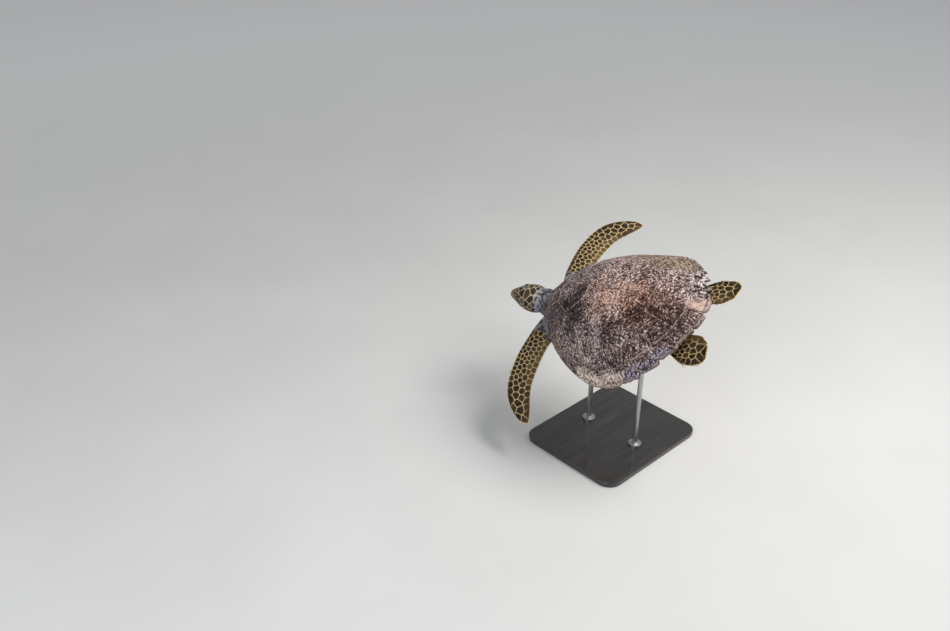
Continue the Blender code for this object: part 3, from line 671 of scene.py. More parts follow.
def plastron_grid(turn, reach, lifted):
    """A ring of places on the belly, or raised from it towards the back."""
    back = PLASTRON_MIDDLE - PLASTRON_LENGTH / 2 * reach * np.cos(turn)
    left = PLASTRON_WIDTH / 2 * reach * np.sin(turn)
    points = at(back, left, PLASTRON_UPTURN * reach ** 3 - PLASTRON_DEPTH)
    points[..., 2] += lifted
    return points


def plastron_seams(length, width):
    """1 in the seams down the middle and across, falling to 0 beside them."""
    curved = length + 0.10 * width ** 2
    seams = np.exp(-(width / MIDLINE_SEAM) ** 2)
    for place in PLASTRON_SEAMS:
        seams = np.maximum(seams, np.exp(-((curved - place) / CROSS_SEAM) ** 2))
    return seams


def make_plastron(belly):
    """Belly shield with its seams cut as grooves and a soft ridge down each side."""
    turn = turns(PLASTRON_SIDES)
    rows, seam_values = [], []
    for reach in np.linspace(0.0, 1.0, PLASTRON_RINGS) ** 0.8:
        ring = plastron_grid(turn, reach, 0.0)
        width = reach * np.sin(turn)
        seams = plastron_seams(-reach * np.cos(turn), width)
        ridge = RIDGE_HEIGHT * np.exp(-((np.abs(width) - RIDGE_AT) / 0.09) ** 2) * (1 - reach ** 6)
        ring[:, 2] += SEAM_GROOVE * seams + 0.0003 * layered_noise(ring, 0.02, 2, 3) - ridge
        rows.append(ring)
        seam_values.append(seams)
    for share, reach in PLASTRON_EDGE:
        rows.append(plastron_grid(turn, reach, PLASTRON_THICKNESS * share))
        seam_values.append(np.zeros(PLASTRON_SIDES))
    new_piece("plastron_shield", np.concatenate(rows), loft_faces(len(rows), PLASTRON_SIDES),
              belly, "plastron_horn", ("plastron",), seam=np.concatenate(seam_values))


# ---- Blades of the flippers ----------------------------------------------------------

SCALE_START = {"front_left": -0.060, "front_right": -0.095,    # along the span
               "hind_left": 0.0, "hind_right": 0.0}
BARE_BASE = 0.05             # length of bare skin on the trailing side of a flipper's base
SKIN_TIP_INSET = 0.0018      # the skin ends this far before the CAD's tip, in shell lengths


def tip_taper(span, taper):
    start, length = taper
    narrow = np.clip((span - start) / length, 0.0, 1.0)
    return np.sqrt(np.maximum(0.0, 1 - narrow ** TIP_ROUNDNESS))


def front_planform(span):
    root = FRONT_ELBOW_BEND * np.maximum(0.0, FRONT_ELBOW_AT - span) ** 2
    tip = FRONT_WRIST_BEND * np.maximum(0.0, span - FRONT_WRIST_AT) ** 2
    return FRONT_MIDDLE - root - tip, FRONT_HALF_WIDTH * tip_taper(span, FRONT_TAPER)


def hind_planform(span):
    spread = smoothstep(0.0, HIND_PADDLE_FROM_ANKLE, span)
    half = HIND_ANKLE_HALF_WIDTH + HIND_PADDLE_WIDENING * spread
    return HIND_MIDDLE_SLOPE * np.asarray(span), half * tip_taper(span, HIND_TAPER)


def blade_matrix(root, side, span_down, sweep_back, pitch):
    """A flipper's frame: X along its span, Y towards its leading edge, Z its upper face."""
    back, left, up = root
    axes = [Vector((side, 0, 0)), Vector((0, -1, 0)), Vector((0, 0, 1))]
    for angle, about in ((-side * span_down, 1), (-side * pitch, 0), (side * sweep_back, 2)):
        spin = Matrix.Rotation(angle, 3, axes[about])
        axes = [spin @ axis for axis in axes]
    turned = np.array([list(axis) for axis in axes]).T
    return turned, at(back, left * side, up)


class Blade:
    """One flipper of a limb, front or hind: where it is, its outline and its thickness."""

    def __init__(self, name, matrix, planform, span_range, thickness):
        self.name = name
        self.limb = name.split("_")[0]
        self.axes, self.root = matrix
        self.planform = planform
        self.start, self.end = span_range
        self.at_root, self.at_tip = thickness
        self.scales_from = SCALE_START[name]

    def share_across(self, span, across):
        """0 on the leading edge and 1 on the trailing edge."""
        middle, half = self.planform(span)
        return (middle + half - across) / np.maximum(2 * half, 1e-6)

    def across_at(self, span, share):
        middle, half = self.planform(span)
        return middle + half * (1 - 2 * share)

    def scaled_share(self, span):
        """0 where the scales start along the span and 1 at the tip."""
        return (span - self.scales_from) / (self.end - self.scales_from)

    def scales_begin(self, share):
        """Where the scales start on the span; the trailing side of the base stays bare."""
        return self.scales_from + BARE_BASE * smoothstep(0.5, 1.0, share)

    def half_body(self, span, chord):
        along = np.clip((span - self.start) / (self.end - self.start), 0, 1)
        half = self.at_tip + (self.at_root - self.at_tip) * (1 - along) ** 1.6
        return half * (1 - HIND_EDGE_THINNING * (1 - chord) / 2)

    def placed(self, span, across, height):
        return self.root + columns(span, across, height) @ self.axes.T * SHELL_LENGTH

    def surface(self, span, across, face, inset=0.0):
        """Places on the upper (face 1) or lower (-1) side; across is the blade's Y."""
        middle, half = self.planform(span)
        chord = np.clip((across - middle) / np.maximum(half, 1e-6), -1, 1)
        height = face * self.half_body(span, chord) * np.sqrt(1 - chord ** 2)
        height = np.sign(height) * np.maximum(0, np.abs(height) - inset / SHELL_LENGTH)
        return self.placed(span, across, height)

    def rings(self, ring_count, sides, inset):
        """Closed cross-sections for the skin, inset from the CAD's surface."""
        inset = inset / SHELL_LENGTH
        chord, upward = np.cos(turns(sides)), np.sin(turns(sides))
        rows = []
        for along in 1 - (1 - np.linspace(0, 1, ring_count)) ** 1.5:
            span = toward(self.start, self.end - SKIN_TIP_INSET, along)
            middle, half = self.planform(span)
            body = np.maximum(self.half_body(span, chord) - inset, THINNEST_BLADE)
            fuller = np.sign(upward) * np.abs(upward) ** 0.8
            across = middle + max(half - inset, 0.001) * chord
            rows.append(self.placed(span, across, body * fuller))
        return rows


def make_blades():
    blades = {}
    for name, side in SIDES:
        front = blade_matrix(FRONT_ROOT[name], side, FRONT_DOWN, FRONT_SWEEP[name],
                             FRONT_PITCH[name])
        hind = blade_matrix(HIND_ROOT, side, HIND_DOWN, HIND_SWEEP[name], HIND_PITCH[name])
        blades["front_" + name] = Blade("front_" + name, front, front_planform, FRONT_SPAN,
                                        FRONT_THICKNESS)
        blades["hind_" + name] = Blade("hind_" + name, hind, hind_planform, HIND_SPAN,
                                       HIND_THICKNESS)
    return blades


BLADES = make_blades()


# ---- Head surface --------------------------------------------------------------------

def station_value(share, column):
    """One column of the head's station table, read with a Catmull-Rom curve."""
    table = np.array(HEAD_STATIONS)
    keys = table[:, 0]
    share = np.clip(np.asarray(share, float), 0, 1)
    index = np.clip(np.searchsorted(keys, share, side="right") - 1, 0, len(keys) - 2)
    before = np.maximum(index - 1, 0)
    after = np.minimum(index + 2, len(keys) - 1)
    value = table[:, column]
    span = keys[index + 1] - keys[index]
    t = (share - keys[index]) / span
    slope_1 = (value[index + 1] - value[before]) / (keys[index + 1] - keys[before]) * span
    slope_2 = (value[after] - value[index]) / (keys[after] - keys[index]) * span
    blend = 2 * t ** 3 - 3 * t ** 2
    return ((blend + 1) * value[index] + (t ** 3 - 2 * t ** 2 + t) * slope_1
            - blend * value[index + 1] + (t ** 3 - t ** 2) * slope_2)


HEAD_AXES = np.array(Matrix.Rotation(math.pi + HEAD_TURN, 3, "Z")
                     @ Matrix.Rotation(HEAD_RAISE, 3, "X") @ Matrix.Rotation(HEAD_ROLL, 3, "Y"))


def head_place(along, left, up):
    """A place in the head's frame: along from nape to beak, to its left, and up."""
    local = columns(-np.asarray(left, float), np.asarray(along) * HEAD_LENGTH, up)
    return at(*NAPE) + local @ HEAD_AXES.T * SHELL_LENGTH


def head_surface(along, around, inset=0.0):
    """The head's surface; around is the angle from the top midline, positive to its left."""
    inset = inset / SHELL_LENGTH
    width = np.maximum(station_value(along, 1) - inset, 0.002)
    top = station_value(along, 2) - inset
    bottom = station_value(along, 3) - inset
    cosine = np.cos(around)
    side = np.sign(np.sin(around)) * np.abs(np.sin(around)) ** 0.9 * width
    height = np.where(cosine > 0, cosine * top, cosine * bottom)
    return head_place(along, side, height)


# ---- Skin ----------------------------------------------------------------------------

TRUNK_SIDES, NECK_SIDES, HEAD_SIDES, TAIL_SIDES, BLADE_SIDES = 160, 48, 72, 32, 64
BELLY_REACHES = (0.05, 0.5, 0.8, 0.96)               # of the trunk's rings on the plastron
BACK_RHOS = (0.872, 0.8, 0.7, 0.55, 0.4, 0.25, 0.05)  # and under the carapace
NECK_RINGS = 14
HEAD_RINGS = 48
HEAD_SKIN_END = 0.93
TAIL_RINGS = 16
TAIL_SKIN_END = 0.98
BLADE_RINGS = 72
NAPE_ALONG = 0.10            # where the neck runs into the head

FOLD_SPACING = 0.012
FOLD_DEPTH = 0.0046
FOLD_HIGHEST = 0.0007        # so that no fold stands out of the CAD's neck
FOLD_REACH = (0.078, 0.064)  # metres from the neck's middle line at which the folds fade
ORBIT_HALF = (0.0135, 0.0110)      # half length and height of the hollow round an eye

SMOOTHING = (0.5, 3)         # strength and rounds over all the skin
JOINT_SMOOTHING = (0.6, 30)  # and where limbs, neck and head run into each other
# Metres from such a place at which the blend is still full, and at which it has ended
BLADE_JOINT = {"front": (0.0375, 0.075), "hind": (0.025, 0.05)}
NECK_JOINT = (0.04, 0.09)
NAPE_JOINT = (0.03, 0.06)

COAT_MARGIN = 0.002          # round a coat, in which the hide looks for a scale over it
PAINT_FROM = 0.0002          # how far under the hide that look starts
PAINT_REACH = 0.004          # and how far it goes
HIDE = np.array((0.30, 0.27, 0.285))
NECK_SKIN = np.array((0.17, 0.165, 0.20))
NECK_LIGHT = np.array((0.55, 0.57, 0.65))
NECK_YELLOW = np.array((0.42, 0.38, 0.26))
BLACK_SPOT = np.array((0.030, 0.028, 0.034))
HEAD_CREAM = np.array((0.60, 0.54, 0.38))
PALE_SCALE = np.array((0.50, 0.38, 0.19))
CREAM = np.array((0.70, 0.54, 0.26))


def trunk_rows(inset):
    """The trunk's rings from the middle of the belly round the flank to the back."""
    turn = turns(TRUNK_SIDES)
    signed = np.where(turn > math.pi, turn - 2 * math.pi, turn)
    outermost = 1.0 - inset / (PLASTRON_WIDTH * SHELL_LENGTH / 2)
    rows = [plastron_grid(turn, reach, PLASTRON_THICKNESS + GAP + inset)
            for reach in (*BELLY_REACHES, outermost)]
    for rho in BACK_RHOS:
        back, left = shell_plan(signed, rho)
        points = at(back, left, shell_height(back, left))
        points[:, 2] -= plate_depth(rho) + GAP + inset
        rows.append(points)
    return rows


def neck_rows(inset):
    angle = turns(NECK_SIDES)
    root = at(*NECK_ROOT)
    nape = head_place(NAPE_ALONG, 0.0, 0.0)
    rows = []
    for share in np.linspace(0, 1, NECK_RINGS):
        ease = share * share * (3 - 2 * share)
        centre = toward(root, nape, share)
        centre[2] = toward(root[2], nape[2], ease)
        width, height = (toward(start, end, ease) * SHELL_LENGTH - inset
                         for start, end in zip(NECK_ROOT_HALF, NECK_NAPE_HALF))
        across, upward = width * np.cos(angle), height * np.sin(angle)
        ring = columns(across, 0.0, upward)
        turned = columns(-across, 0.0, upward) @ HEAD_AXES.T
        rows.append(centre + toward(ring, turned, ease))
    return rows


def head_rows(inset):
    return [head_surface(np.full(HEAD_SIDES, along), turns(HEAD_SIDES), inset)
            for along in np.linspace(0.0, HEAD_SKIN_END, HEAD_RINGS)]


def tail_rows(inset):
    angle = turns(TAIL_SIDES)
    root, tip = at(*TAIL_ROOT), at(*TAIL_TIP)
    rows = []
    for share in np.linspace(0, TAIL_SKIN_END, TAIL_RINGS):
        radius = max(toward(*TAIL_RADIUS, share) * SHELL_LENGTH - inset, 0.003)
        radius *= 1 - max(0.0, share - 0.9) * 3
        ring = columns(TAIL_FLATNESS[0] * radius * np.cos(angle), 0.0,
                       TAIL_FLATNESS[1] * radius * np.sin(angle))
        rows.append(toward(root, tip, share) + ring)
    return rows


def raw_skin():
    """All the flesh as closed bodies that run into each other, then joined by a remesh."""
    bodies = [rows(COAT_DEPTH) for rows in (trunk_rows, neck_rows, head_rows, tail_rows)]
    bodies += [blade.rings(BLADE_RINGS, BLADE_SIDES, COAT_DEPTH) for blade in BLADES.values()]
    points, faces = [], []
    total = 0
    for rows in bodies:
        count = len(rows[0])
        points += rows
        faces += [tuple(index + total for index in face)
                  for face in loft_faces(len(rows), count)]
        total += len(rows) * count
    mesh = bpy.data.meshes.new("raw_skin")
    mesh.from_pydata(np.concatenate(points), [], faces)
    face_outwards(mesh)
    raw = new_object("raw_skin", mesh)
    remesh = raw.modifiers.new("remesh", "REMESH")
    remesh.mode = "VOXEL"
    remesh.voxel_size = SKIN_VOXEL
    graph = bpy.context.evaluated_depsgraph_get()
    joined = bpy.data.meshes.new_from_object(raw.evaluated_get(graph))
    bpy.data.objects.remove(raw, do_unlink=True)
    return joined


def read_mesh(mesh):
    points = np.empty(len(mesh.vertices) * 3)
    mesh.vertices.foreach_get("co", points)
    edges = np.empty(len(mesh.edges) * 2, dtype=np.int64)
    mesh.edges.foreach_get("vertices", edges)
    return points.reshape(-1, 3), edges.reshape(-1, 2)


def relax(points, edges, strength, rounds):
    """Pull each point towards its neighbours' mean, by its own strength."""
    count = len(points)
    degree = np.bincount(edges.ravel(), minlength=count)[:, None]
    for _ in range(rounds):
        total = np.empty_like(points)
        for axis in range(3):
            total[:, axis] = (np.bincount(edges[:, 0], points[edges[:, 1], axis], count)
                              + np.bincount(edges[:, 1], points[edges[:, 0], axis], count))
        points = points + (total / np.maximum(degree, 1) - points) * strength[:, None]
    return points


def neck_line(points):
    """Ways from the neck's middle line to each point, and shares of the way along it."""
    root, nape = at(0.03, 0.0, -0.050), head_place(0.20, 0.0, 0.0)
    way = nape - root
    share = (points - root) @ way / (way @ way)
    share = np.clip(share, 0, 1)
    return points - (root + share[:, None] * way), share, np.linalg.norm(way)


def fold_pattern(points):
    """Pleats of the neck: below 0 in the creases between its wavy rings, 0 off the neck."""
    away, share, length = neck_line(points)
    wavy = share * length + 0.007 * noise(points, 0.045, 71) + 0.002 * noise(points, 0.015, 74)
    rings = np.abs(np.sin(wavy / FOLD_SPACING * math.pi)) ** 0.5 - 0.75
    depth = rings * (0.7 + 0.5 * noise(points, 0.05, 73)) + 0.20 * noise(points, 0.008, 72)
    on_neck = smoothstep(0.0, 0.10, share) * smoothstep(1.0, 0.86, share)
    return depth * on_neck * smoothstep(*FOLD_REACH, np.linalg.norm(away, axis=1))


def neck_folds(points):
    """Moves that pleat the neck."""
    away, _, _ = neck_line(points)
    outward = away / np.maximum(np.linalg.norm(away, axis=1), 1e-6)[:, None]
    return outward * np.minimum(FOLD_DEPTH * fold_pattern(points), FOLD_HIGHEST)[:, None]


def sink_orbits(points):
    """Moves that hollow the head round each eyeball, under the lids."""
    moves = np.zeros_like(points)
    radius = EYE_RADIUS * SHELL_LENGTH
    for _, side in SIDES:
        centre, outward, forward, upward = eye_frame(side)
        local = points - centre
        height = local @ outward
        away = np.hypot(local @ forward / ORBIT_HALF[0], local @ upward / ORBIT_HALF[1])
        depth = smoothstep(1.0, 0.7, away) * np.maximum(0.0, height - 0.25 * radius)
        moves -= outward * (depth * (height < 2 * radius))[:, None]
    return moves


def joints():
    """Where limbs, neck and head meet: each place, and how far round it the skin is blended."""
    spots = []
    for blade in BLADES.values():
        middle, _ = blade.planform(0.0)
        spots.append((blade.surface(0.0, middle, 0), BLADE_JOINT[blade.limb]))
    spots.append((at(0.02, 0.0, -0.045), NECK_JOINT))
    spots.append((head_place(NAPE_ALONG, 0.0, 0.0), NAPE_JOINT))
    return spots


def make_skin(material):
    mesh = raw_skin()
    points, edges = read_mesh(mesh)
    strength, rounds = SMOOTHING
    points = relax(points, edges, np.full(len(points), strength), rounds)
    near = np.zeros(len(points))
    for spot, (full, none) in joints():
        away = np.linalg.norm(points - spot, axis=1)
        near = np.maximum(near, 1 - smoothstep(full, none, away))
    strength, rounds = JOINT_SMOOTHING
    points = relax(points, edges, near * strength, rounds)
    points += neck_folds(points)
    points += sink_orbits(points)
    faces = [tuple(face.vertices) for face in mesh.polygons]
    bpy.data.meshes.remove(mesh)
    nodes = ["trunk", "neck", "head", "tail", *(f"flipper_{limb}" for limb in BLADES)]
    skin = new_piece("turtle_skin", points, faces, material, "scaled_skin", nodes)
    return skin, points, faces


def near_head(points):
    """Share along the head and degrees from its top, for points in the turtle's frame."""
    local = (points - at(*NAPE)) / SHELL_LENGTH @ HEAD_AXES
    return local[:, 1] / HEAD_LENGTH, np.degrees(np.arctan2(-local[:, 0], local[:, 2]))


def neck_tint(points, along, around):
    """Colour of the bare hide: dusky, and on the neck blotched dark and light, with painted shade
    in the pleats' creases and painted light on their crests.
    """
    neck = smoothstep(0.10, 0.02, points[:, 1] + 0.5 * SHELL_LENGTH)[:, None]
    neck = neck * smoothstep(0.16, 0.09, np.abs(points[:, 0]))[:, None]
    under = smoothstep(60, 120, around)[:, None] * neck
    mottled = layered_noise(points, 0.010, 2, 51)[:, None]
    blotch = smoothstep(0.12, 0.26, mottled)
    tint = toward(HIDE, NECK_SKIN, neck)
    tint = toward(tint, NECK_YELLOW, under * 0.7)
    tint = toward(tint, BLACK_SPOT, blotch * (0.95 - 0.6 * under))
    tint = toward(tint, NECK_LIGHT, smoothstep(0.12, 0.36, -mottled) * neck * 0.75)
    # painted shade in the creases between the neck's pleats, and painted light on their crests
    tint = tint * (1 + 0.8 * np.minimum(fold_pattern(points)[:, None], 0.25))
    band = (smoothstep(0.06, 0.18, along) * smoothstep(0.34, 0.24, along))[:, None]
    return toward(tint, NECK_LIGHT, band * 0.55 * (1 - blotch))


def on_blade(points, blade):
    """1 on the scaled length of a flipper, falling to 0 where its bare base begins."""
    span, across, up = ((points - blade.root) / SHELL_LENGTH @ blade.axes).T
    middle, half = blade.planform(span)
    start = blade.scales_begin(np.clip(blade.share_across(span, across), 0, 1))
    beside = np.abs(across - middle) - half
    close = smoothstep(0.03, 0.01, beside) * smoothstep(0.06, 0.03, np.abs(up))
    return smoothstep(start - 0.012, start + 0.012, span) * close


def bare_tint(points):
    """Colour of the hide wherever no scale covers it, and how bare it is."""
    along, around = near_head(points)
    around = np.abs(around)
    tint = neck_tint(points, along, around)
    ragged = along + 0.05 * noise(points, 0.012, 55) + 0.10 * smoothstep(100, 160, around)
    on_head = smoothstep(0.22, 0.32, ragged)
    tint = toward(tint, HEAD_CREAM, on_head[:, None])
    scaled = on_head
    for blade in BLADES.values():
        covered = on_blade(points, blade)
        tint = toward(tint, CREAM, covered[:, None])
        scaled = np.maximum(scaled, covered)
    belly = smoothstep(-0.02, -0.09, points[:, 2]) * smoothstep(0.0, 0.05, points[:, 1] + 0.38)
    return toward(tint, PALE_SCALE * 1.2, (belly * (1 - on_head) * 0.5)[:, None]), 1 - scaled


def skin_normals(skin):
    """The hide's point normals in the turtle's frame."""
    normals = np.empty(len(skin.data.vertices) * 3)
    skin.data.vertex_normals.foreach_get("vector", normals)
    return normals.reshape(-1, 3) @ np.array(POSE)[:3, :3]


def paint_skin(skin, points, coats):
    """Give the hide its bare tint, and each scale's own tint where that scale lies over it."""
    tint, bare = bare_tint(points)
    normals = skin_normals(skin)
    for coat in coats:
        tree = BVHTree.FromPolygons(coat.joined.tolist(), coat.faces)
        inside = np.all((points > coat.joined.min(axis=0) - COAT_MARGIN)
                        & (points < coat.joined.max(axis=0) + COAT_MARGIN), axis=1)
        for index in np.flatnonzero(inside):
            start = Vector(points[index] - normals[index] * PAINT_FROM)
            _, _, face, _ = tree.ray_cast(start, Vector(normals[index]), PAINT_REACH)
            if face is not None:
                tint[index] = coat.joined_tints[coat.faces[face][0]]
    add_attribute(skin.data, "tint", tint)
    add_attribute(skin.data, "bare", bare)


# ---- Scales --------------------------------------------------------------------------

SCALE_RAISE = 0.0009
SCALE_SINK = 0.0008
# In from the rim, and shares of the way out; then how high, as shares of the scale's raise
SCALE_RIM = ((0.0, 0.35), (0.0005, 0.8), (0.0014, 1.0))
SCALE_DOME = ((0.62, 1.12), (0.25, 1.18))
SCALE_TOP = 1.2
SCALE_CORNER_STEP = 0.0022   # spacing of a scale's outline points
BAKE_PATCH = 0.003           # half size of a scale on the bake map


def clip_half_plane(polygon, middle, direction):
    """The part of a convex polygon that lies against the direction."""
    kept = []
    heights = [(corner[0] - middle[0]) * direction[0] + (corner[1] - middle[1]) * direction[1]
               for corner in polygon]
    for i, corner in enumerate(polygon):
        after = polygon[(i + 1) % len(polygon)]
        here, there = heights[i], heights[(i + 1) % len(polygon)]
        if here <= 0:
            kept.append(corner)
        if (here < 0 < there) or (there < 0 < here):
            share = here / (here - there)
            kept.append((corner[0] + (after[0] - corner[0]) * share,
                         corner[1] + (after[1] - corner[1]) * share))
    return kept


def cell(index, seeds, reach, gap=0.0):
    """The polygon of places nearer to one seed than to any other, drawn in by half a gap."""
    here = seeds[index]
    away = np.hypot(*(seeds - here).T)
    polygon = [(here[0] + reach * x, here[1] + reach * y)
               for x, y in ((-1, -1), (1, -1), (1, 1), (-1, 1))]
    for other in np.argsort(away)[1:20]:
        if away[other] > 2 * reach:
            break
        way = seeds[other] - here
        polygon = clip_half_plane(polygon, here + way * (0.5 - gap / 2 / away[other]), way)
        if len(polygon) < 3:
            return None
    return np.array(polygon)


def softened(polygon, radius):
    """A scale's outline, evenly stepped, with its corners rounded."""
    rounded = []
    for i, corner in enumerate(polygon):
        ends = []
        for other in (polygon[i - 1], polygon[(i + 1) % len(polygon)]):
            way = other - corner
            ends.append(corner + way * min(0.42, radius / max(1e-9, np.linalg.norm(way))))
        rounded += [ends[0], (ends[0] + 2 * corner + ends[1]) / 4, ends[1]]
    loop = np.array([*rounded, rounded[0]])
    way = np.concatenate(([0.0], np.cumsum(np.hypot(*np.diff(loop, axis=0).T))))
    count = int(np.clip(way[-1] / SCALE_CORNER_STEP, 14, 44))
    wanted = np.arange(count) / count * way[-1]
    return columns(*(np.interp(wanted, way, column) for column in loop.T))


class Coat:
    """Scales of one limb, or of the head, gathered into one mesh."""

    def __init__(self, skin_tree):
        self.tree = skin_tree
        self.points = []
        self.faces = []
        self.bake = []
        self.tints = []
        self.total = 0

    def add(self, outline, to_space, tints, bake_at, raise_by=SCALE_RAISE):
        """One scale over the skin; to_space takes chart places to the turtle's frame."""
        tint, rim_tint = tints
        centre = outline.mean(axis=0)
        spokes = outline - centre
        lengths = np.maximum(1e-9, np.linalg.norm(spokes, axis=1))
        bake_scale = BAKE_PATCH / (2 * lengths.mean())
        count = len(outline)
        rings = [(np.ones(count), -SCALE_SINK)]
        rings += [(np.maximum(0.3, 1 - inset / lengths), high * raise_by)
                  for inset, high in SCALE_RIM]
        rings += [(np.full(count, share), high * raise_by) for share, high in SCALE_DOME]
        start = self.total
        for share, height in rings:
            offset = spokes * share[:, None]
            self.place(to_space(centre + offset), height, bake_at + offset * bake_scale)
            self.tints.append(toward(tint, rim_tint, smoothstep(0.55, 0.98, share)[:, None]))
        self.place(to_space(centre[None, :]), SCALE_TOP * raise_by, bake_at[None, :])
        self.tints.append(tint[None, :])
        last = start + (len(rings) - 1) * count
        for low in range(start, last, count):
            self.faces += ring_faces(count, low, low + count)
        self.faces += fan_faces(count, last, last + count)
        self.faces.append(tuple(range(start, start + count)))

    def place(self, wished, height, bake):
        """Lay points on the hide and raise them off it."""
        for point in wished:
            spot, normal, _, _ = self.tree.find_nearest(Vector(point))
            self.points.append(np.array(spot) + np.array(normal) * height)
        self.bake.append(bake)
        self.total += len(wished)

    def finish(self, name, material):
        self.joined = np.array(self.points)
        self.joined_tints = np.concatenate(self.tints)
        piece = new_piece(name, self.joined, self.faces, material, "scaled_skin",
                          tint=self.joined_tints)
        add_bake_map(piece.data, np.concatenate(self.bake))


def add_bake_map(mesh, places):
    layer = mesh.uv_layers.new(name="OFBake")
    corners = np.empty(len(mesh.loops), dtype=np.int64)
    mesh.loops.foreach_get("vertex_index", corners)
    layer.data.foreach_set("uv", places[corners].ravel())


def scatter(random, inside, size_at, fixed, bounds, tries):
    """Seeds thrown at random, each kept a local size away from the others."""
    kept = list(fixed)
    low, high = np.array(bounds[0]), np.array(bounds[1])
    for spot in low + (high - low) * random.random((tries, 2)):
        if inside(spot) and np.hypot(*(np.array(kept) - spot).T).min() > size_at(spot):
            kept.append(spot)
    return np.array(kept)


# ---- Scales of the flippers ----------------------------------------------------------

EDGE_MARGIN = 0.0040         # kept free along a flipper's edges
LAID_FROM = 0.003            # scales come down on the hide from this far above their own side
NET_WIDTH = 0.0022           # of the pale skin between two scales
NET_WIDENING = 0.0006        # of that skin, towards the tip
SCALE_CORNER = 0.0028        # rounding of its corners
SMALLEST_SCALE = 0.0045      # narrower ones are left out; in shell lengths
CELL_REACH = 0.036           # from a seed to the farthest corner sought, in shell lengths
# How far before the tip each of the last large scales is, how far before it that its place
# across is worked out, and that place
TIP_SEEDS = {"front": ((0.022, 0.030, 0.24), (0.028, 0.034, 0.72)),
             "hind": ((0.018, 0.018, 0.45),)}
# Least distance between seeds, and what the tip and the trailing edge add to it
SCALE_SIZES = {"front": (0.0190, 0.012, 0.008), "hind": (0.0185, 0.013, 0.0)}
# Where the rows of large scales start after the bare base, and end before the tip
LEADING_ENDS = (0.008, 0.030)
TRAILING_ENDS = (0.016, 0.040)
LEADING_ROW_IN = {"front": 0.10, "hind": 0.12}      # share across at the base
ROW_UNEVENNESS = 0.15
BASE_GHOSTS = (0.1, 0.35, 0.6, 0.85, 1.0)    # across; their scales aren't kept
GHOSTS_BEFORE = 0.014
THROWS = 2600                # of seeds for the small scales on one side of a flipper
DARK_SCALE = np.array((0.007, 0.005, 0.004))
OLIVE_SCALE = np.array((0.105, 0.070, 0.032))
AMBER_RIM = np.array((0.30, 0.15, 0.04))


def scale_size(blade, spot):
    """Least distance between scales' seeds at a spot."""
    least, tipward, trailing = SCALE_SIZES[blade.limb]
    far = smoothstep(0.35, 0.95, blade.scaled_share(spot[0]))
    behind = smoothstep(0.6, 0.9, blade.share_across(*spot))
    return least + tipward * far + trailing * behind * (1 - far)


def edge_seeds(blade, random):
    """Seeds of the large scales, in rows along the leading and the trailing edge."""
    seeds = []
    span = blade.scales_from + LEADING_ENDS[0]
    while span < blade.end - LEADING_ENDS[1]:
        far = blade.scaled_share(span)
        across = blade.across_at(span, LEADING_ROW_IN[blade.limb] + 0.07 * far)
        seeds.append((span + 0.002 * random.random(), across))
        step = 0.021 + 0.018 * smoothstep(0.35, 0.8, far)
        span += step * (1 + ROW_UNEVENNESS * random.random())
    span = blade.scales_from + TRAILING_ENDS[0]
    while span < blade.end - TRAILING_ENDS[1]:
        far = blade.scaled_share(span)
        seeds.append((span, blade.across_at(span, 0.88 - 0.05 * far)))
        span += (0.028 + 0.004 * far) * (1 + ROW_UNEVENNESS * random.random())
    return seeds + [(blade.end - before, blade.across_at(blade.end - measured, share))
                    for before, measured, share in TIP_SEEDS[blade.limb]]


def flipper_layout(blade, random):
    """Seeds in the blade's own plan, the ghosts first: rows of large scales along both edges
    and small, uneven ones between."""

    def scaled(spot):
        return spot[0] > blade.scales_begin(blade.share_across(*spot))

    def inside(spot):
        middle, half = blade.planform(spot[0])
        return half > 0.012 and abs(spot[1] - middle) < half * 0.86 and scaled(spot)

    def size_at(spot):
        return scale_size(blade, spot)

    fixed = [(float(blade.scales_begin(share)) - GHOSTS_BEFORE,
              blade.across_at(blade.scales_from, share)) for share in BASE_GHOSTS]
    fixed += [seed for seed in edge_seeds(blade, random) if scaled(seed)]
    middle, half = blade.planform(np.linspace(blade.scales_from, blade.end, 40))
    bounds = ((blade.scales_from, (middle - half).min()),
              (blade.end - 0.034, (middle + half).max()))
    seeds = scatter(random, inside, size_at, fixed, bounds, THROWS)
    for _ in range(2):
        for index in range(len(fixed), len(seeds)):
            polygon = cell(index, seeds, 0.03)
            if polygon is not None:
                seeds[index] = seeds[index] * 0.4 + polygon.mean(axis=0) * 0.6
    return seeds


def kept_on_blade(outline, blade):
    """An outline, in metres, held inside the edges of its blade."""
    margin = EDGE_MARGIN / SHELL_LENGTH
    span, across = (outline / SHELL_LENGTH).T
    span = np.clip(span, blade.scales_from - 0.03, blade.end - 1.6 * margin)
    middle, half = blade.planform(span)
    half = np.maximum(half - margin, 0.0005)
    return columns(span, np.clip(across, middle - half, middle + half)) * SHELL_LENGTH


def flipper_scale_outline(blade, index, seeds, far):
    """One scale's outline in metres on the blade's plan, or None where it would be a sliver."""
    polygon = cell(index, seeds, CELL_REACH, (NET_WIDTH + NET_WIDENING * far) / SHELL_LENGTH)
    if polygon is None:
        return None
    outline = softened(kept_on_blade(polygon * SHELL_LENGTH, blade), SCALE_CORNER)
    outline = kept_on_blade(outline, blade)
    return outline if np.ptp(outline, axis=0).min() >= SMALLEST_SCALE * SHELL_LENGTH else None


def flipper_scale_tints(share, far, face, random):
    """A scale's tint and its rim's: dark in front, olive behind, pale on the lower side."""
    olive = float(smoothstep(0.45, 0.85, share) * (1 - 0.7 * far)) + 0.25 * random.random()
    tint = toward(DARK_SCALE, OLIVE_SCALE, min(1.0, olive)) * (0.55 + 0.9 * random.random())
    rim = toward(tint, AMBER_RIM, 0.10 + 0.25 * share * random.random())
    if face == -1:
        tint = toward(tint, PALE_SCALE, 0.92 - 0.5 * far * random.random())
        rim = toward(rim, CREAM, 0.7)
    return tint, rim


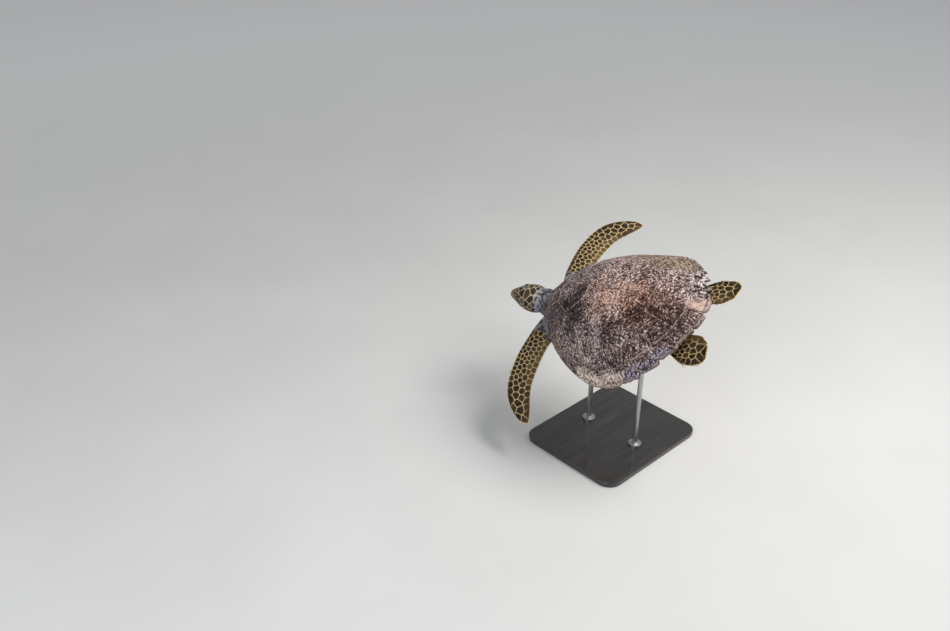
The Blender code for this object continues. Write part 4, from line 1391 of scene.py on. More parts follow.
def flipper_scales(blade, skin_tree, material):
    random = np.random.default_rng(sum(map(ord, blade.name)))
    coat = Coat(skin_tree)
    for face in (1, -1):

        def to_space(chart):
            return blade.surface(*(chart / SHELL_LENGTH).T, face, -LAID_FROM)

        seeds = flipper_layout(blade, random)
        for index in range(len(BASE_GHOSTS), len(seeds)):
            span, across = seeds[index]
            along = blade.scaled_share(span)
            far = float(smoothstep(0.2, 0.9, along))
            outline = flipper_scale_outline(blade, index, seeds, far)
            if outline is None:
                continue
            share = float(np.clip(blade.share_across(span, across), 0, 1))
            tints = flipper_scale_tints(share, far, face, random)
            bake_at = np.array([0.04 + 0.9 * along,
                                (0.75 if face == 1 else 0.25) + 0.21 * (1 - 2 * share)])
            coat.add(outline, to_space, tints, bake_at)
    coat.finish("scales_" + blade.name, material)
    return coat


# ---- Scales of the head --------------------------------------------------------------

HEAD_GIRTH = 0.060           # head radius that turns angles into lengths on its chart
CHART_SCALE = np.array((HEAD_LENGTH, HEAD_GIRTH)) * SHELL_LENGTH
# Plates of the left half and the midline: along the head, and degrees from its top
HEAD_PLATES = (
    (0.795, 13), (0.715, 22), (0.640, 0), (0.600, 42), (0.490, 0), (0.370, 19),
    (0.450, 47), (0.535, 66), (0.440, 74), (0.355, 52), (0.530, 88), (0.450, 98),
    (0.365, 80), (0.700, 52), (0.620, 104), (0.535, 110), (0.455, 118), (0.375, 108),
    (0.690, 84), (0.330, 130), (0.400, 138), (0.490, 136), (0.580, 130),
    (0.275, 66), (0.285, 94), (0.255, 120), (0.280, 38),
)
# Seeds round the scaled part, on the left half; their scales aren't kept
HEAD_GHOSTS = (
    (0.215, 7), (0.215, 22), (0.19, 44), (0.19, 66), (0.19, 90), (0.19, 118),
    (0.3, 160), (0.4, 160), (0.5, 160), (0.6, 160), (0.70, 118),
)
FRONT_GHOSTS = (0.86, (-60, -30, 0, 30, 60))
PLATE_SHIFT = 0.008          # along the head, by which the halves are uneven
BLUE_PLATE = (0.60, 42)      # the one above each eye, tinted bluish
THROAT_FROM = 122            # degrees from the top
HEAD_FRONT_END = 0.80
HEAD_NET_WIDTH = 0.0023
HEAD_CORNER = 0.0022         # rounding of its plates' corners
HEAD_SCALE_RAISE = 0.9 * SCALE_RAISE
EYE_CLEARANCE = (0.0155, 0.0130)     # half length and height kept free round each eye
HEAD_DARK = np.array((0.013, 0.009, 0.009))
HEAD_BROWN = np.array((0.072, 0.048, 0.038))
HEAD_BLUE = np.array((0.115, 0.115, 0.125))


def head_chart(along, degrees):
    return np.array((along, math.radians(degrees))) * CHART_SCALE


def from_head_chart(chart):
    return head_surface(*(chart / CHART_SCALE).T, COAT_DEPTH)


def head_seeds(random):
    """Seeds on the head's chart: the two eyes, the plates, then the ghosts."""
    along, left, up = EYE_AT
    eye = math.degrees(math.atan2(left, up))
    seeds = [head_chart(along, eye), head_chart(along, -eye)]
    for along, degrees in HEAD_PLATES:
        shift = PLATE_SHIFT * (random.random() - 0.5)
        seeds.append(head_chart(along + shift, degrees))
        if degrees:
            seeds.append(head_chart(along - shift, -degrees))
    ghosts = [head_chart(FRONT_GHOSTS[0], degrees) for degrees in FRONT_GHOSTS[1]]
    ghosts += [head_chart(along, side * degrees) for along, degrees in HEAD_GHOSTS
               for _, side in SIDES]
    return np.array(seeds + ghosts), len(ghosts)


def head_scale_outline(index, seeds):
    """One head plate's outline on the chart, kept clear of the beak and the eyes."""
    outline = softened(cell(index, seeds, 0.03, HEAD_NET_WIDTH), HEAD_CORNER)
    outline[:, 0] = np.minimum(outline[:, 0], HEAD_FRONT_END * CHART_SCALE[0])
    for eye in seeds[:2]:
        way = outline - eye
        near = np.maximum(1e-9, np.linalg.norm(way / EYE_CLEARANCE, axis=1))
        outline = eye + way * np.maximum(1.0, 1 / near)[:, None]
    return outline


def head_scale_tints(along, degrees, random):
    tint = toward(HEAD_DARK, HEAD_BROWN, random.random() ** 1.5)
    if abs(along - BLUE_PLATE[0]) < 0.01 and abs(degrees - BLUE_PLATE[1]) < 5:
        tint = toward(tint, HEAD_BLUE, 0.8)
    if degrees > THROAT_FROM:
        tint = toward(tint, PALE_SCALE, 0.35)
    return tint, toward(tint, AMBER_RIM, 0.25)


def head_scales(skin_tree, material):
    random = np.random.default_rng(7)
    seeds, ghost_count = head_seeds(random)
    coat = Coat(skin_tree)
    for index in range(2, len(seeds) - ghost_count):
        along, around = seeds[index] / CHART_SCALE
        tints = head_scale_tints(along, abs(math.degrees(around)), random)
        bake_at = np.array([0.05 + 0.9 * along, 0.5 + 0.45 * around / math.pi])
        coat.add(head_scale_outline(index, seeds), from_head_chart, tints, bake_at,
                 HEAD_SCALE_RAISE)
    coat.finish("scales_head", material)
    return coat


# ---- Beak, eyes and claws ------------------------------------------------------------

BEAK_ROWS = 52
BEAK_COLUMNS = 56
BEAK_OUTSET = 0.0007
BEAK_LAYER = (-0.0004, 0.0026)       # outer and inner side, in from the skin
# Along the head where each half starts on its ridge and at the mouth, and where it ends;
# then the height its tip closes at, and how far that tip hooks
UPPER_BEAK = (0.80, 0.660, 1.006, -0.0175, 0.0075)
LOWER_BEAK = (0.74, 0.665, 0.962, -0.0240, -0.0010)
BEAK_CLOSES = 0.86           # share of a half's length from which its rows draw together
MOUTH_GAP = math.radians(0.8)
NOSTRIL = (0.925, math.radians(38))  # along the head, and angle from its top
NOSTRIL_REACH = 0.02         # turns angles round the nostril into shell lengths
NOSTRIL_SIZE = 0.0017
BEAK_DARK = np.array((0.040, 0.022, 0.014))
UPPER_LIGHT = np.array((0.36, 0.23, 0.10))
LOWER_LIGHT = np.array((0.50, 0.37, 0.18))


def mouth_angle(along):
    """Angle from the top at which the head's surface is at the mouth's height."""
    bottom = station_value(along, 3)
    return math.pi / 2 + np.arcsin(np.clip(-MOUTH_HEIGHT / bottom, 0, 0.98))


def beak_faces():
    """Faces of the body between an outer and an inner grid, the inner one's points last."""
    half = BEAK_ROWS * BEAK_COLUMNS
    faces = []
    for row in range(BEAK_ROWS - 1):
        for low in range(row * BEAK_COLUMNS, (row + 1) * BEAK_COLUMNS - 1):
            high = low + BEAK_COLUMNS
            faces.append((low, low + 1, high + 1, high))
            faces.append((half + low, half + high, half + high + 1, half + low + 1))
    grid = np.arange(half).reshape(BEAK_ROWS, BEAK_COLUMNS)
    border = np.concatenate([grid[0], grid[1:, -1], grid[-1, -2::-1], grid[-2:0:-1, 0]]).tolist()
    for here, after in zip(border, border[1:] + border[:1]):
        faces.append((here, half + here, half + after, after))
    return faces


def beak_tint(along, around, upper):
    """Amber horn with dark brown streaks that run towards the cutting edge."""
    streaked = layered_noise(columns(along * 3, around * 9, 0.0), 1.0, 3, 31 if upper else 41)
    return toward(BEAK_DARK, UPPER_LIGHT if upper else LOWER_LIGHT,
                  smoothstep(-0.15, 0.45, streaked)[:, None])


def nostril_pit(along, around):
    reach = np.hypot((along - NOSTRIL[0]) * HEAD_LENGTH,
                     (np.abs(around) - NOSTRIL[1]) * NOSTRIL_REACH) * SHELL_LENGTH
    return np.exp(-(reach / NOSTRIL_SIZE) ** 2)


def beak_rows(inset, upper):
    """Rows of a beak half from its slanted rear edge to its tip, where they draw together."""
    top, jaw, front, level, hook = UPPER_BEAK if upper else LOWER_BEAK
    spread = np.linspace(-1, 1, BEAK_COLUMNS)
    start = toward(top, jaw, np.abs(spread) ** 1.5)
    rows, tints = [], []
    for share in np.linspace(0, 1, BEAK_ROWS):
        along = toward(start, front, share ** 0.85)
        limit = mouth_angle(along) - MOUTH_GAP
        around = spread * limit if upper else math.pi + spread * (math.pi - limit - 2 * MOUTH_GAP)
        pit = nostril_pit(along, around) if upper else np.zeros(BEAK_COLUMNS)
        ring = head_surface(along, around, inset - BEAK_OUTSET * smoothstep(0.0, 0.06, share))
        closing = np.clip((share - BEAK_CLOSES) / (1 - BEAK_CLOSES), 0, 1)
        centre = head_place(along.mean(), 0.0, level - hook * closing ** 2)
        shrink = math.sqrt(max(0.0004, 1 - closing ** 2)) * (1 - 0.10 * pit)
        rows.append(centre + (ring - centre) * shrink[:, None])
        # painted shade: the beak is darkened over its shallow nostril pit, standing in for the dark
        # of the opening
        tints.append(beak_tint(along, around, upper) * (1 - 0.9 * pit[:, None]))
    return rows, tints


def make_beak(material):
    for half in ("upper", "lower"):
        outer, tints = beak_rows(COAT_DEPTH + BEAK_LAYER[0], half == "upper")
        inner, _ = beak_rows(COAT_DEPTH + BEAK_LAYER[1], half == "upper")
        new_piece("beak_sheath_" + half, np.concatenate(outer + inner), beak_faces(), material,
                  "beak_horn", ("beak_" + half,), tint=np.concatenate(tints + tints))


EYE_SIDES = 56
# Degrees from the way the eye looks at which its rings lie
EYE_TILTS = (3, 7, 11, 15, 19, 23, 27, 32, 38, 45, 52, 60, 70, 84, 100, 120, 145, 172)
EYE_OUTWARD = (1.6, 1.0, 0.40)       # the way an eye looks: ahead, outwards and up
CORNEA_BULGE = 0.035
CORNEA_SPREAD = 0.5


def head_way(along, left, up):
    """A direction in the head's frame, told as head_place's places are."""
    return head_place(along, left, up) - head_place(0.0, 0.0, 0.0)


def eye_frame(side):
    """The eyeball's centre, the way it looks, and the directions forward and up from it."""
    ahead, beside, up = EYE_OUTWARD
    outward = head_way(0.0, beside * side, up) + head_way(1.0, 0.0, 0.0) * ahead
    outward /= np.linalg.norm(outward)
    forward = head_way(1.0, 0.0, 0.0)
    forward -= outward * (forward @ outward)
    forward /= np.linalg.norm(forward)
    upward = np.cross(outward, forward)
    upward *= np.sign(upward[2])
    return head_place(EYE_AT[0], EYE_AT[1] * side, EYE_AT[2]), outward, forward, upward


def eye_spokes(side, count):
    """Directions round the way an eye looks, from forward by up."""
    _, _, forward, upward = eye_frame(side)
    return np.cos(turns(count))[:, None] * forward + np.sin(turns(count))[:, None] * upward


def make_eye(name, side, material):
    centre, outward, _, _ = eye_frame(side)
    spokes = eye_spokes(side, EYE_SIDES)
    rows = []
    for tilt in np.radians(EYE_TILTS):
        bulge = 1 + CORNEA_BULGE * math.exp(-(tilt / CORNEA_SPREAD) ** 2)
        way = math.cos(tilt) * outward + math.sin(tilt) * spokes
        rows.append(centre + EYE_RADIUS * SHELL_LENGTH * bulge * way)
    new_piece("eyeball_" + name, np.concatenate(rows), loft_faces(len(rows), EYE_SIDES), material,
              "eye", ("eye_" + name,), gaze=np.repeat(EYE_TILTS, EYE_SIDES))


LID_SIDES = 96
LID_HALF = (54.0, 37.0, 30.0)      # degrees the eye opens to front and back, up and down
LID_SKIRT = (0.0060, 0.0075)       # how far the lids reach out below and above
LID_SHARPNESS = 1.45               # 2 would make the opening a plain ellipse
LID_RIM = math.radians(12)         # how far the lids reach in under their rim
# Share of the way out from the opening, and how high the lid stands there: rim, crease, fold
LID_PROFILE = ((0.0, 0.0004), (0.05, 0.0011), (0.12, 0.0016), (0.22, 0.0018), (0.34, 0.0016),
               (0.46, 0.0009), (0.54, 0.0006), (0.62, 0.0011), (0.72, 0.0013), (0.84, 0.0008),
               (0.93, 0.0001), (1.0, -0.0012))
LID_DARK = np.array((0.030, 0.022, 0.017))
LID_PALE = np.array((0.40, 0.31, 0.15))


def lid_opening():
    """Angles from the way the eye looks to the lids' rim: an almond."""
    cosine, sine = np.cos(turns(LID_SIDES)), np.sin(turns(LID_SIDES))
    half = np.where(sine > 0, LID_HALF[1], LID_HALF[2])
    return np.radians(((np.abs(cosine) / LID_HALF[0]) ** LID_SHARPNESS
                       + (np.abs(sine) / half) ** LID_SHARPNESS) ** (-1 / LID_SHARPNESS))


def make_lids(name, side, skin_tree, material):
    """Both lids of an eye as one fold of hide, from the rim on the eyeball out to the skin."""
    centre, outward, _, _ = eye_frame(side)
    spokes = eye_spokes(side, LID_SIDES)
    radius = EYE_RADIUS * SHELL_LENGTH
    opening = lid_opening()
    above = smoothstep(-0.4, 0.5, np.sin(turns(LID_SIDES)))

    def on_ball(tilt, share):
        way = np.cos(tilt)[:, None] * outward + np.sin(tilt)[:, None] * spokes
        return centre + radius * share * way

    rim = on_ball(opening, 1.02)
    reach = radius * np.sin(opening) + toward(*LID_SKIRT, above)
    wished = centre + outward * radius + spokes * reach[:, None]
    outer = np.array([skin_tree.find_nearest(Vector(point))[0] for point in wished])
    rows = [on_ball(opening + LID_RIM, 0.97), on_ball(opening, 0.98)]
    for share, height in LID_PROFILE:
        ripple = 0.0005 * noise(columns(turns(LID_SIDES) * 5, share * 9.0, 0.0), 1.0, 91)
        lift = height * (0.7 + 0.5 * above) + ripple * math.sin(math.pi * share)
        rows.append(toward(rim, outer, share) + outward * lift[:, None])
    faces = []
    for k in range(len(rows)):
        faces += ring_faces(LID_SIDES, k * LID_SIDES, (k + 1) % len(rows) * LID_SIDES)
    points = np.concatenate(rows)
    heights = [0.0, 0.0, *(height for _, height in LID_PROFILE)]
    # Paler where the lid stands high, darker in its crease and where it meets the hide: painted
    # light and painted shade over the speckle
    crest_shading = np.repeat(smoothstep(-0.0010, 0.0016, heights), LID_SIDES)
    speckle = smoothstep(-0.25, 0.35, noise(points, 0.0042, 92))
    tint = toward(LID_DARK, LID_PALE, ((0.35 + 0.45 * crest_shading) * speckle)[:, None])
    new_piece("eyelids_" + name, points, faces, material, "scaled_skin", tint=tint)


CLAW_SIDES = 16
CLAW_RINGS = 14
MAIN_CLAW = 0.024            # length, in shell lengths
SMALL_CLAW = 0.012
CLAWS_AT = {"front": (0.17, 0.235), "hind": (0.10, 0.055)}    # along the span: main, small
CLAW_RADIUS = 0.36           # shares of a claw's length
CLAW_CURL = 0.75
CLAW_SUNK = 0.008
CLAW_ROOT = np.array((0.42, 0.33, 0.22))
CLAW_TIP = np.array((0.85, 0.78, 0.64))


def make_claw(name, blade, span, size, material, replaces=()):
    """A curved claw on the leading edge, pointing towards the tip."""
    middle, half = blade.planform(span)
    angle = turns(CLAW_SIDES)
    rows = []
    for share in np.linspace(0, 0.985, CLAW_RINGS):
        radius = size * CLAW_RADIUS * (1 - share) ** 0.7
        along = span + size * CLAW_CURL * share ** 1.4
        rows.append(blade.placed(along + radius * np.cos(angle),
                                 middle + half - CLAW_SUNK + size * share,
                                 radius * 0.8 * np.sin(angle)))
    share = np.repeat(np.linspace(0, 1, CLAW_RINGS), CLAW_SIDES)[:, None]
    new_piece(name, np.concatenate(rows), loft_faces(CLAW_RINGS, CLAW_SIDES), material,
              "claw_horn", replaces, tint=toward(CLAW_ROOT, CLAW_TIP, share))


def make_claws(material):
    for key, blade in BLADES.items():
        main_at, small_at = CLAWS_AT[blade.limb]
        make_claw("claw_main_" + key, blade, main_at, MAIN_CLAW, material, ("claw_" + key,))
        make_claw("claw_small_" + key, blade, small_at, SMALL_CLAW, material)


# ---- Materials -----------------------------------------------------------------------
# Noise scales are in cells per shell length, since the `place` attribute is in shell lengths.

class Wire:
    """A value, vector or colour in a material; what is done with it adds nodes."""

    def __init__(self, shade, socket):
        self.shade = shade
        self.socket = socket

    def math(self, operation, other=0.0):
        node = self.shade.new("Math")
        node.operation = operation
        return self.shade.wired(node, {0: self, 1: other})

    def __add__(self, other):
        return self.math("ADD", other)

    def __sub__(self, other):
        return self.math("SUBTRACT", other)

    def __mul__(self, other):
        return self.math("MULTIPLY", other)

    def parts(self):
        node = self.shade.new("SeparateXYZ")
        return [self.shade.wired(node, {0: self}, output) for output in range(3)]

    def stretched(self, scale):
        node = self.shade.new("VectorMath")
        node.operation = "MULTIPLY"
        return self.shade.wired(node, {0: self, 1: scale})

    def noise(self, scale, detail=3.0, roughness=0.55, distortion=0.0):
        return self.shade.wired(self.shade.new("TexNoise"), {
            "Vector": self, "Scale": scale, "Detail": detail, "Roughness": roughness,
            "Distortion": distortion})

    def cells(self, scale, feature="F1", output="Distance"):
        node = self.shade.new("TexVoronoi")
        node.feature = feature
        return self.shade.wired(node, {"Vector": self, "Scale": scale}, output)

    def step(self, low, high, start=0.0, end=1.0):
        """From start to end, smoothly, as the value goes from low to high."""
        node = self.shade.new("MapRange")
        node.interpolation_type = "SMOOTHSTEP"
        return self.shade.wired(node, dict(enumerate((self, low, high, start, end))))

    def zone(self, start, end, fade):
        """1 between two values, falling to 0 over the fade on both sides."""
        return self.step(start - fade, start) * self.step(end, end + fade, 1.0, 0.0)

    def ramp(self, *stops):
        """Colours between stops, each a value and the colour there."""
        node = self.shade.new("ValToRGB")
        elements = node.color_ramp.elements
        while len(elements) < len(stops):
            elements.new(0.5)
        for element, (position, color) in zip(elements, stops):
            element.position = position
            element.color = (*color, 1)
        return self.shade.wired(node, {0: self})


class Shade:
    """A material being put together."""

    def __init__(self, name, roughness=0.6, coat=0.0, metallic=0.0, specular=0.5):
        self.material = bpy.data.materials.new(name)
        self.material.use_nodes = True
        self.tree = self.material.node_tree
        self.shader = self.tree.nodes["Principled BSDF"]
        self.shader.inputs["Roughness"].default_value = roughness
        self.shader.inputs["Coat Weight"].default_value = coat
        self.shader.inputs["Metallic"].default_value = metallic
        self.shader.inputs["Specular IOR Level"].default_value = specular

    def new(self, kind):
        return self.tree.nodes.new("ShaderNode" + kind)

    def feed(self, socket, value):
        if isinstance(value, Wire):
            self.tree.links.new(value.socket, socket)
        elif socket.type == "RGBA":
            socket.default_value = (*value, 1)
        else:
            socket.default_value = value

    def wired(self, node, inputs, output=0):
        """Feed a node's inputs, by number or name, and give one of its outputs."""
        for key, value in inputs.items():
            self.feed(node.inputs[key], value)
        return Wire(self, node.outputs[output])

    def attribute(self, name, output="Vector"):
        node = self.new("Attribute")
        node.attribute_name = name
        return self.wired(node, {}, output)

    def object_place(self):
        return self.wired(self.new("TexCoord"), {}, "Object")

    def joined(self, x, y, z):
        return self.wired(self.new("CombineXYZ"), {0: x, 1: y, 2: z})

    def mix(self, factor, first, second, blend="MIX"):
        node = self.new("Mix")
        node.data_type = "RGBA"
        node.blend_type = blend
        return self.wired(node, {0: factor, 6: first, 7: second}, 2)

    def bump(self, height, distance, strength=1.0, under=None):
        node = self.new("Bump")
        inputs = {"Strength": strength, "Distance": distance, "Height": height}
        if under is not None:
            inputs["Normal"] = under
        return self.wired(node, inputs)

    def finish(self, color, roughness=None, normal=None):
        self.feed(self.shader.inputs["Base Color"], color)
        if roughness is not None:
            self.feed(self.shader.inputs["Roughness"], roughness)
        if normal is not None:
            self.feed(self.shader.inputs["Normal"], normal)
        return self.material


# ---- Looks of the carapace -----------------------------------------------------------

# Dark, middle, light and cream parts of the mottle, at the noise values where each is pure
MOTTLE_AT = (0.415, 0.478, 0.535, 0.60)
WARM_MOTTLE = ((0.016, 0.008, 0.007), (0.125, 0.074, 0.066), (0.42, 0.295, 0.275),
               (0.95, 0.80, 0.76))
BROWN_MOTTLE = ((0.014, 0.006, 0.004), (0.105, 0.046, 0.032), (0.29, 0.150, 0.108),
                (0.76, 0.52, 0.42))
GREY_MOTTLE = ((0.010, 0.008, 0.008), (0.055, 0.040, 0.040), (0.23, 0.170, 0.163),
               (0.72, 0.58, 0.54))
GROWTH_RINGS = 520.0         # radians per metre in from a plate's edge
PINK_PLATE = ((0.40, (0.36, 0.21, 0.165)), (0.58, (0.80, 0.60, 0.50)))
FRONT_RIM_GREY = (0.075, 0.062, 0.060)
# Painted shade: the dark of a seam's shadow, laid in a band a little in from each plate's edge
PAINTED_GROOVE_SHADE = (0.030, 0.018, 0.015)
SEAM_TAN = (0.50, 0.38, 0.32)
UNDERSIDE = ((0.40, (0.10, 0.055, 0.030)), (0.50, (0.62, 0.46, 0.22)), (0.66, (0.78, 0.64, 0.38)))

# Growth along the rim. `turn` is where each kind lies round the shell, in half turns from the
# nuchal plate by the left flank, and `fade` how that ends; `rho` is where it begins and is
# full on the way out to the rim; `cover` is how much it hides; `ramp` tints its `noise`.
RimGrowth = namedtuple("RimGrowth", "turn fade rho cover noise ramp")
RIM_GROWTHS = (
    RimGrowth((-0.93, -0.60), 0.06, (0.80, 0.94), 1.0, "clumped",
              ((0.445, (0.012, 0.009, 0.009)), (0.495, (0.14, 0.105, 0.098)),
               (0.54, (0.58, 0.47, 0.46)), (0.585, (0.94, 0.86, 0.83)))),
    RimGrowth((-0.74, -0.46), 0.08, (0.48, 0.80), 0.90, "drawn",
              ((0.43, (0.028, 0.021, 0.017)), (0.495, (0.17, 0.118, 0.080)),
               (0.57, (0.50, 0.38, 0.265)))),
    RimGrowth((0.41, 0.62), 0.03, (0.89, 0.95), 1.0, "fine",
              ((0.43, (0.050, 0.030, 0.024)), (0.475, (0.32, 0.23, 0.19)),
               (0.53, (0.92, 0.77, 0.67)))),
    RimGrowth((0.66, 0.79), 0.05, (0.915, 0.985), 0.9, "fine",
              ((0.455, (0.014, 0.010, 0.014)), (0.50, (0.14, 0.117, 0.16)),
               (0.56, (0.56, 0.51, 0.61)))),
)


class Horn:
    """The places and the noises that the carapace's looks are worked out from."""

    def __init__(self, shade):
        self.shade = shade
        self.place = shade.attribute("place")
        self.left, self.back, _ = self.place.parts()
        self.turn, self.rho, self.under = shade.attribute("shell").parts()
        self.edge = shade.attribute("edge", "Fac")
        self.fine = self.place.noise(105.0, 4.0, 0.70, 0.5)
        self.broad = self.place.noise(9.0, 3.0, 0.6, 0.5) - 0.5
        self.wavy_turn = self.turn + self.broad * 0.16
        self.wavy_rho = self.rho + self.broad * 0.16
        way_back, way_left, reach = shade.attribute("ray").parts()
        growth = shade.joined(way_back * 13.0, way_left * 13.0, reach * 42.0)
        self.streak = growth.noise(1.0, 3.0, 0.65)
        ring = ((self.edge + self.broad * 0.05) * GROWTH_RINGS).math("SINE")
        # Fine and drawn-out growth make the mottle, which patches, stains and rings shift
        self.mottle = (self.fine * 0.66 + self.streak * 0.34 + self.broad * 0.20
                       + shade.attribute("stain", "Fac") * 0.055 + ring * 0.012)

    def noise_of(self, kind):
        """Noise that a growth follows: the fine one, clumped, or drawn out round the flank."""
        if kind == "clumped":
            return self.fine * 0.5 + self.place.noise(48.0, 3.0, 0.6, 0.4) * 0.5
        if kind == "drawn":
            along_flank = self.shade.joined(self.turn * 13.0, self.rho * 62.0, 0.0)
            return along_flank.noise(1.0, 4.0, 0.65, 0.4) * 0.40 + self.fine * 0.60
        return self.fine


def back_color(horn):
    """The mottle: grey in front, warmer to the right rear, browner at the heart of the back."""
    grey, warm, brown = (horn.mottle.ramp(*zip(MOTTLE_AT, tints))
                         for tints in (GREY_MOTTLE, WARM_MOTTLE, BROWN_MOTTLE))
    warmth = (horn.back * 0.9 - horn.left * 0.6).step(-0.26, 0.24)
    drift = horn.broad * 0.30
    heart = (horn.left + drift).zone(-0.01, 0.09, 0.08) * (horn.back + drift).zone(0.05, 0.28, 0.18)
    return horn.shade.mix(heart * 0.85, horn.shade.mix(warmth, grey, warm), brown)


def rim_color(horn, color):
    """The bare pink plate beside the tail, the growth along the rim and the grey front rim."""
    mix = horn.shade.mix
    pink = horn.turn.zone(-1.0, -0.94, 0.004) * horn.rho.step(0.86, 0.90, 0.0, 0.85)
    color = mix(pink, color, horn.place.noise(22.0, 2.0).ramp(*PINK_PLATE))
    for growth in RIM_GROWTHS:
        amount = (horn.wavy_turn.zone(*growth.turn, growth.fade)
                  * horn.wavy_rho.step(*growth.rho, 0.0, growth.cover))
        color = mix(amount, color, horn.noise_of(growth.noise).ramp(*growth.ramp))
    front = horn.wavy_turn.math("ABSOLUTE").step(0.10, 0.30, 1.0, 0.0)
    return mix(front * horn.wavy_rho.step(0.78, 0.98, 0.0, 0.7), color, FRONT_RIM_GREY)


def edge_color(horn, color):
    """Painted shade in a patchy band beside each plate's edge, the worn edge itself, and the yellow
    underside.
    """
    mix = horn.shade.mix
    # painted shade: a patchy dark band a little in from each plate's edge, where a seam's shadow
    # would fall
    patchy = horn.place.noise(30.0, 2.0).step(0.42, 0.58, 0.0, 0.65)
    color = mix(horn.edge.zone(0.0060, 0.0085, 0.0035) * patchy, color, PAINTED_GROOVE_SHADE)
    worn = horn.place.noise(34.0, 2.0).step(0.40, 0.60, 0.10, 0.70)
    color = mix(horn.edge.step(0.0012, 0.0042, 1.0, 0.0) * worn, color, SEAM_TAN)
    return mix(horn.under.step(0.2, 0.8), color, horn.place.noise(26.0, 4.0).ramp(*UNDERSIDE))


def horn_material():
    """Worn, overgrown carapace horn: fine mottling drawn out along each plate's growth."""
    shade = Shade("scute_horn", specular=0.12)
    horn = Horn(shade)
    color = edge_color(horn, rim_color(horn, back_color(horn)))
    normal = shade.bump(horn.fine + horn.streak * 0.5, 0.0045, 0.9)
    normal = shade.bump(horn.place.cells(230.0), 0.0008, 0.6, normal)
    return shade.finish(color, horn.mottle.step(0.40, 0.60, 0.50, 0.85), normal)


# ---- Looks of the rest ---------------------------------------------------------------

PEBBLES = 260.0              # skin pebbles along one shell length
FLOOR_PAINTED_LIGHT_SPAN = (1.5, 7.0)  # distances from the stand between which painted light makes the floor paler
FLOOR_FAR_PAINTED_LIGHT = (0.97, 0.97, 0.97)


def belly_material():
    """Pale plastron horn: creamy yellow, brown along its seams, faintly streaked."""
    shade = Shade("belly_horn", roughness=0.45, coat=0.15)
    place = shade.attribute("place")
    drawn = place.stretched((1.0, 2.6, 1.0))
    color = drawn.noise(14.0, 4.0, 0.6, 0.4).ramp(
        (0.34, (0.50, 0.33, 0.15)), (0.48, (0.74, 0.58, 0.32)), (0.64, (0.84, 0.74, 0.52)))
    color = shade.mix(place.noise(7.0, 2.0).step(0.58, 0.70, 0.0, 0.55), color, (0.22, 0.13, 0.075))
    seam = shade.attribute("seam", "Fac").step(0.1, 0.9, 0.0, 0.8)
    color = shade.mix(seam, color, (0.20, 0.12, 0.06))
    normal = shade.bump(drawn.noise(60.0, 3.0), 0.0012, 0.7)
    return shade.finish(color, place.noise(30.0, 2.0).step(0.4, 0.6, 0.35, 0.6), normal)


def skin_material():
    """Hide: the tint painted on each point; where bare, small flat pebbles and creases."""
    shade = Shade("turtle_hide", specular=0.25)
    place, tint = shade.attribute("place"), shade.attribute("tint")
    bare = shade.attribute("bare", "Fac")
    warp = place.noise(40.0, 2.0) * 0.006
    warped = shade.joined(*(part + warp for part in place.parts()))
    crack = warped.cells(PEBBLES, "DISTANCE_TO_EDGE")
    pebble, _, _ = warped.cells(PEBBLES, output="Color").parts()
    varied = pebble.ramp((0.0, (0.70, 0.70, 0.71)), (0.5, (0.90, 0.90, 0.90)),
                         (0.85, (1.0, 1.0, 1.0)))
    fine = place.noise(240.0, 3.0, 0.6)
    color = shade.mix(bare, tint, shade.mix(1.0, tint, varied, "MULTIPLY"))
    color = shade.mix(crack.step(0.02, 0.14, 0.30, 0.0) * bare, color, (0.035, 0.032, 0.038))
    color = shade.mix(fine.step(0.40, 0.65, 0.25, 0.0), color, (0.05, 0.035, 0.02))
    grain = shade.bump(crack.step(0.0, 0.20) * bare, 0.0007, 0.7)
    normal = shade.bump(fine, 0.0008, 0.5, grain)
    return shade.finish(color, fine.step(0.3, 0.7, 0.42, 0.62), normal)


def scale_material():
    """Keratin scales: dark horn with a dull bloom, and warmer and darker flecks."""
    shade = Shade("keratin_scale", specular=0.10)
    place = shade.attribute("place")
    flecks = place.noise(150.0, 4.0, 0.6)
    bloom = place.noise(85.0, 3.0, 0.6).step(0.53, 0.66, 0.0, 0.22)
    color = shade.mix(bloom, shade.attribute("tint"), (0.24, 0.19, 0.17))
    color = shade.mix(flecks.step(0.48, 0.70, 0.0, 0.14), color, (0.34, 0.22, 0.11))
    color = shade.mix(flecks.step(0.30, 0.45, 0.5, 0.0), color, (0.012, 0.009, 0.008))
    normal = shade.bump(place.noise(320.0, 3.0), 0.0006, 0.6)
    return shade.finish(color, flecks.step(0.35, 0.65, 0.36, 0.56), normal)


def beak_material():
    """Smooth amber horn, chalky in places."""
    shade = Shade("beak_horn", roughness=0.35, coat=0.2)
    place = shade.attribute("place")
    chalky = place.noise(200.0, 3.0)
    color = shade.mix(chalky.step(0.5, 0.7, 0.0, 0.3), shade.attribute("tint"), (0.66, 0.54, 0.36))
    normal = shade.bump(place.noise(380.0, 2.0), 0.0005, 0.6)
    return shade.finish(color, chalky.step(0.3, 0.7, 0.28, 0.5), normal)


def eye_material():
    """A dark, moist eye: black pupil, brown iris with fine spokes, dusky white round it."""
    shade = Shade("moist_eye", roughness=0.08, coat=1.0)
    gaze = shade.attribute("gaze", "Fac")
    spokes = shade.attribute("place").noise(500.0, 2.0)
    iris = spokes.ramp((0.40, (0.035, 0.018, 0.010)), (0.62, (0.16, 0.085, 0.040)))
    color = shade.mix(gaze.step(15.0, 18.0), (0.004, 0.004, 0.005), iris)
    color = shade.mix(gaze.step(30.0, 36.0), color, (0.10, 0.075, 0.060))
    return shade.finish(color, spokes.step(0.3, 0.7, 0.06, 0.12))


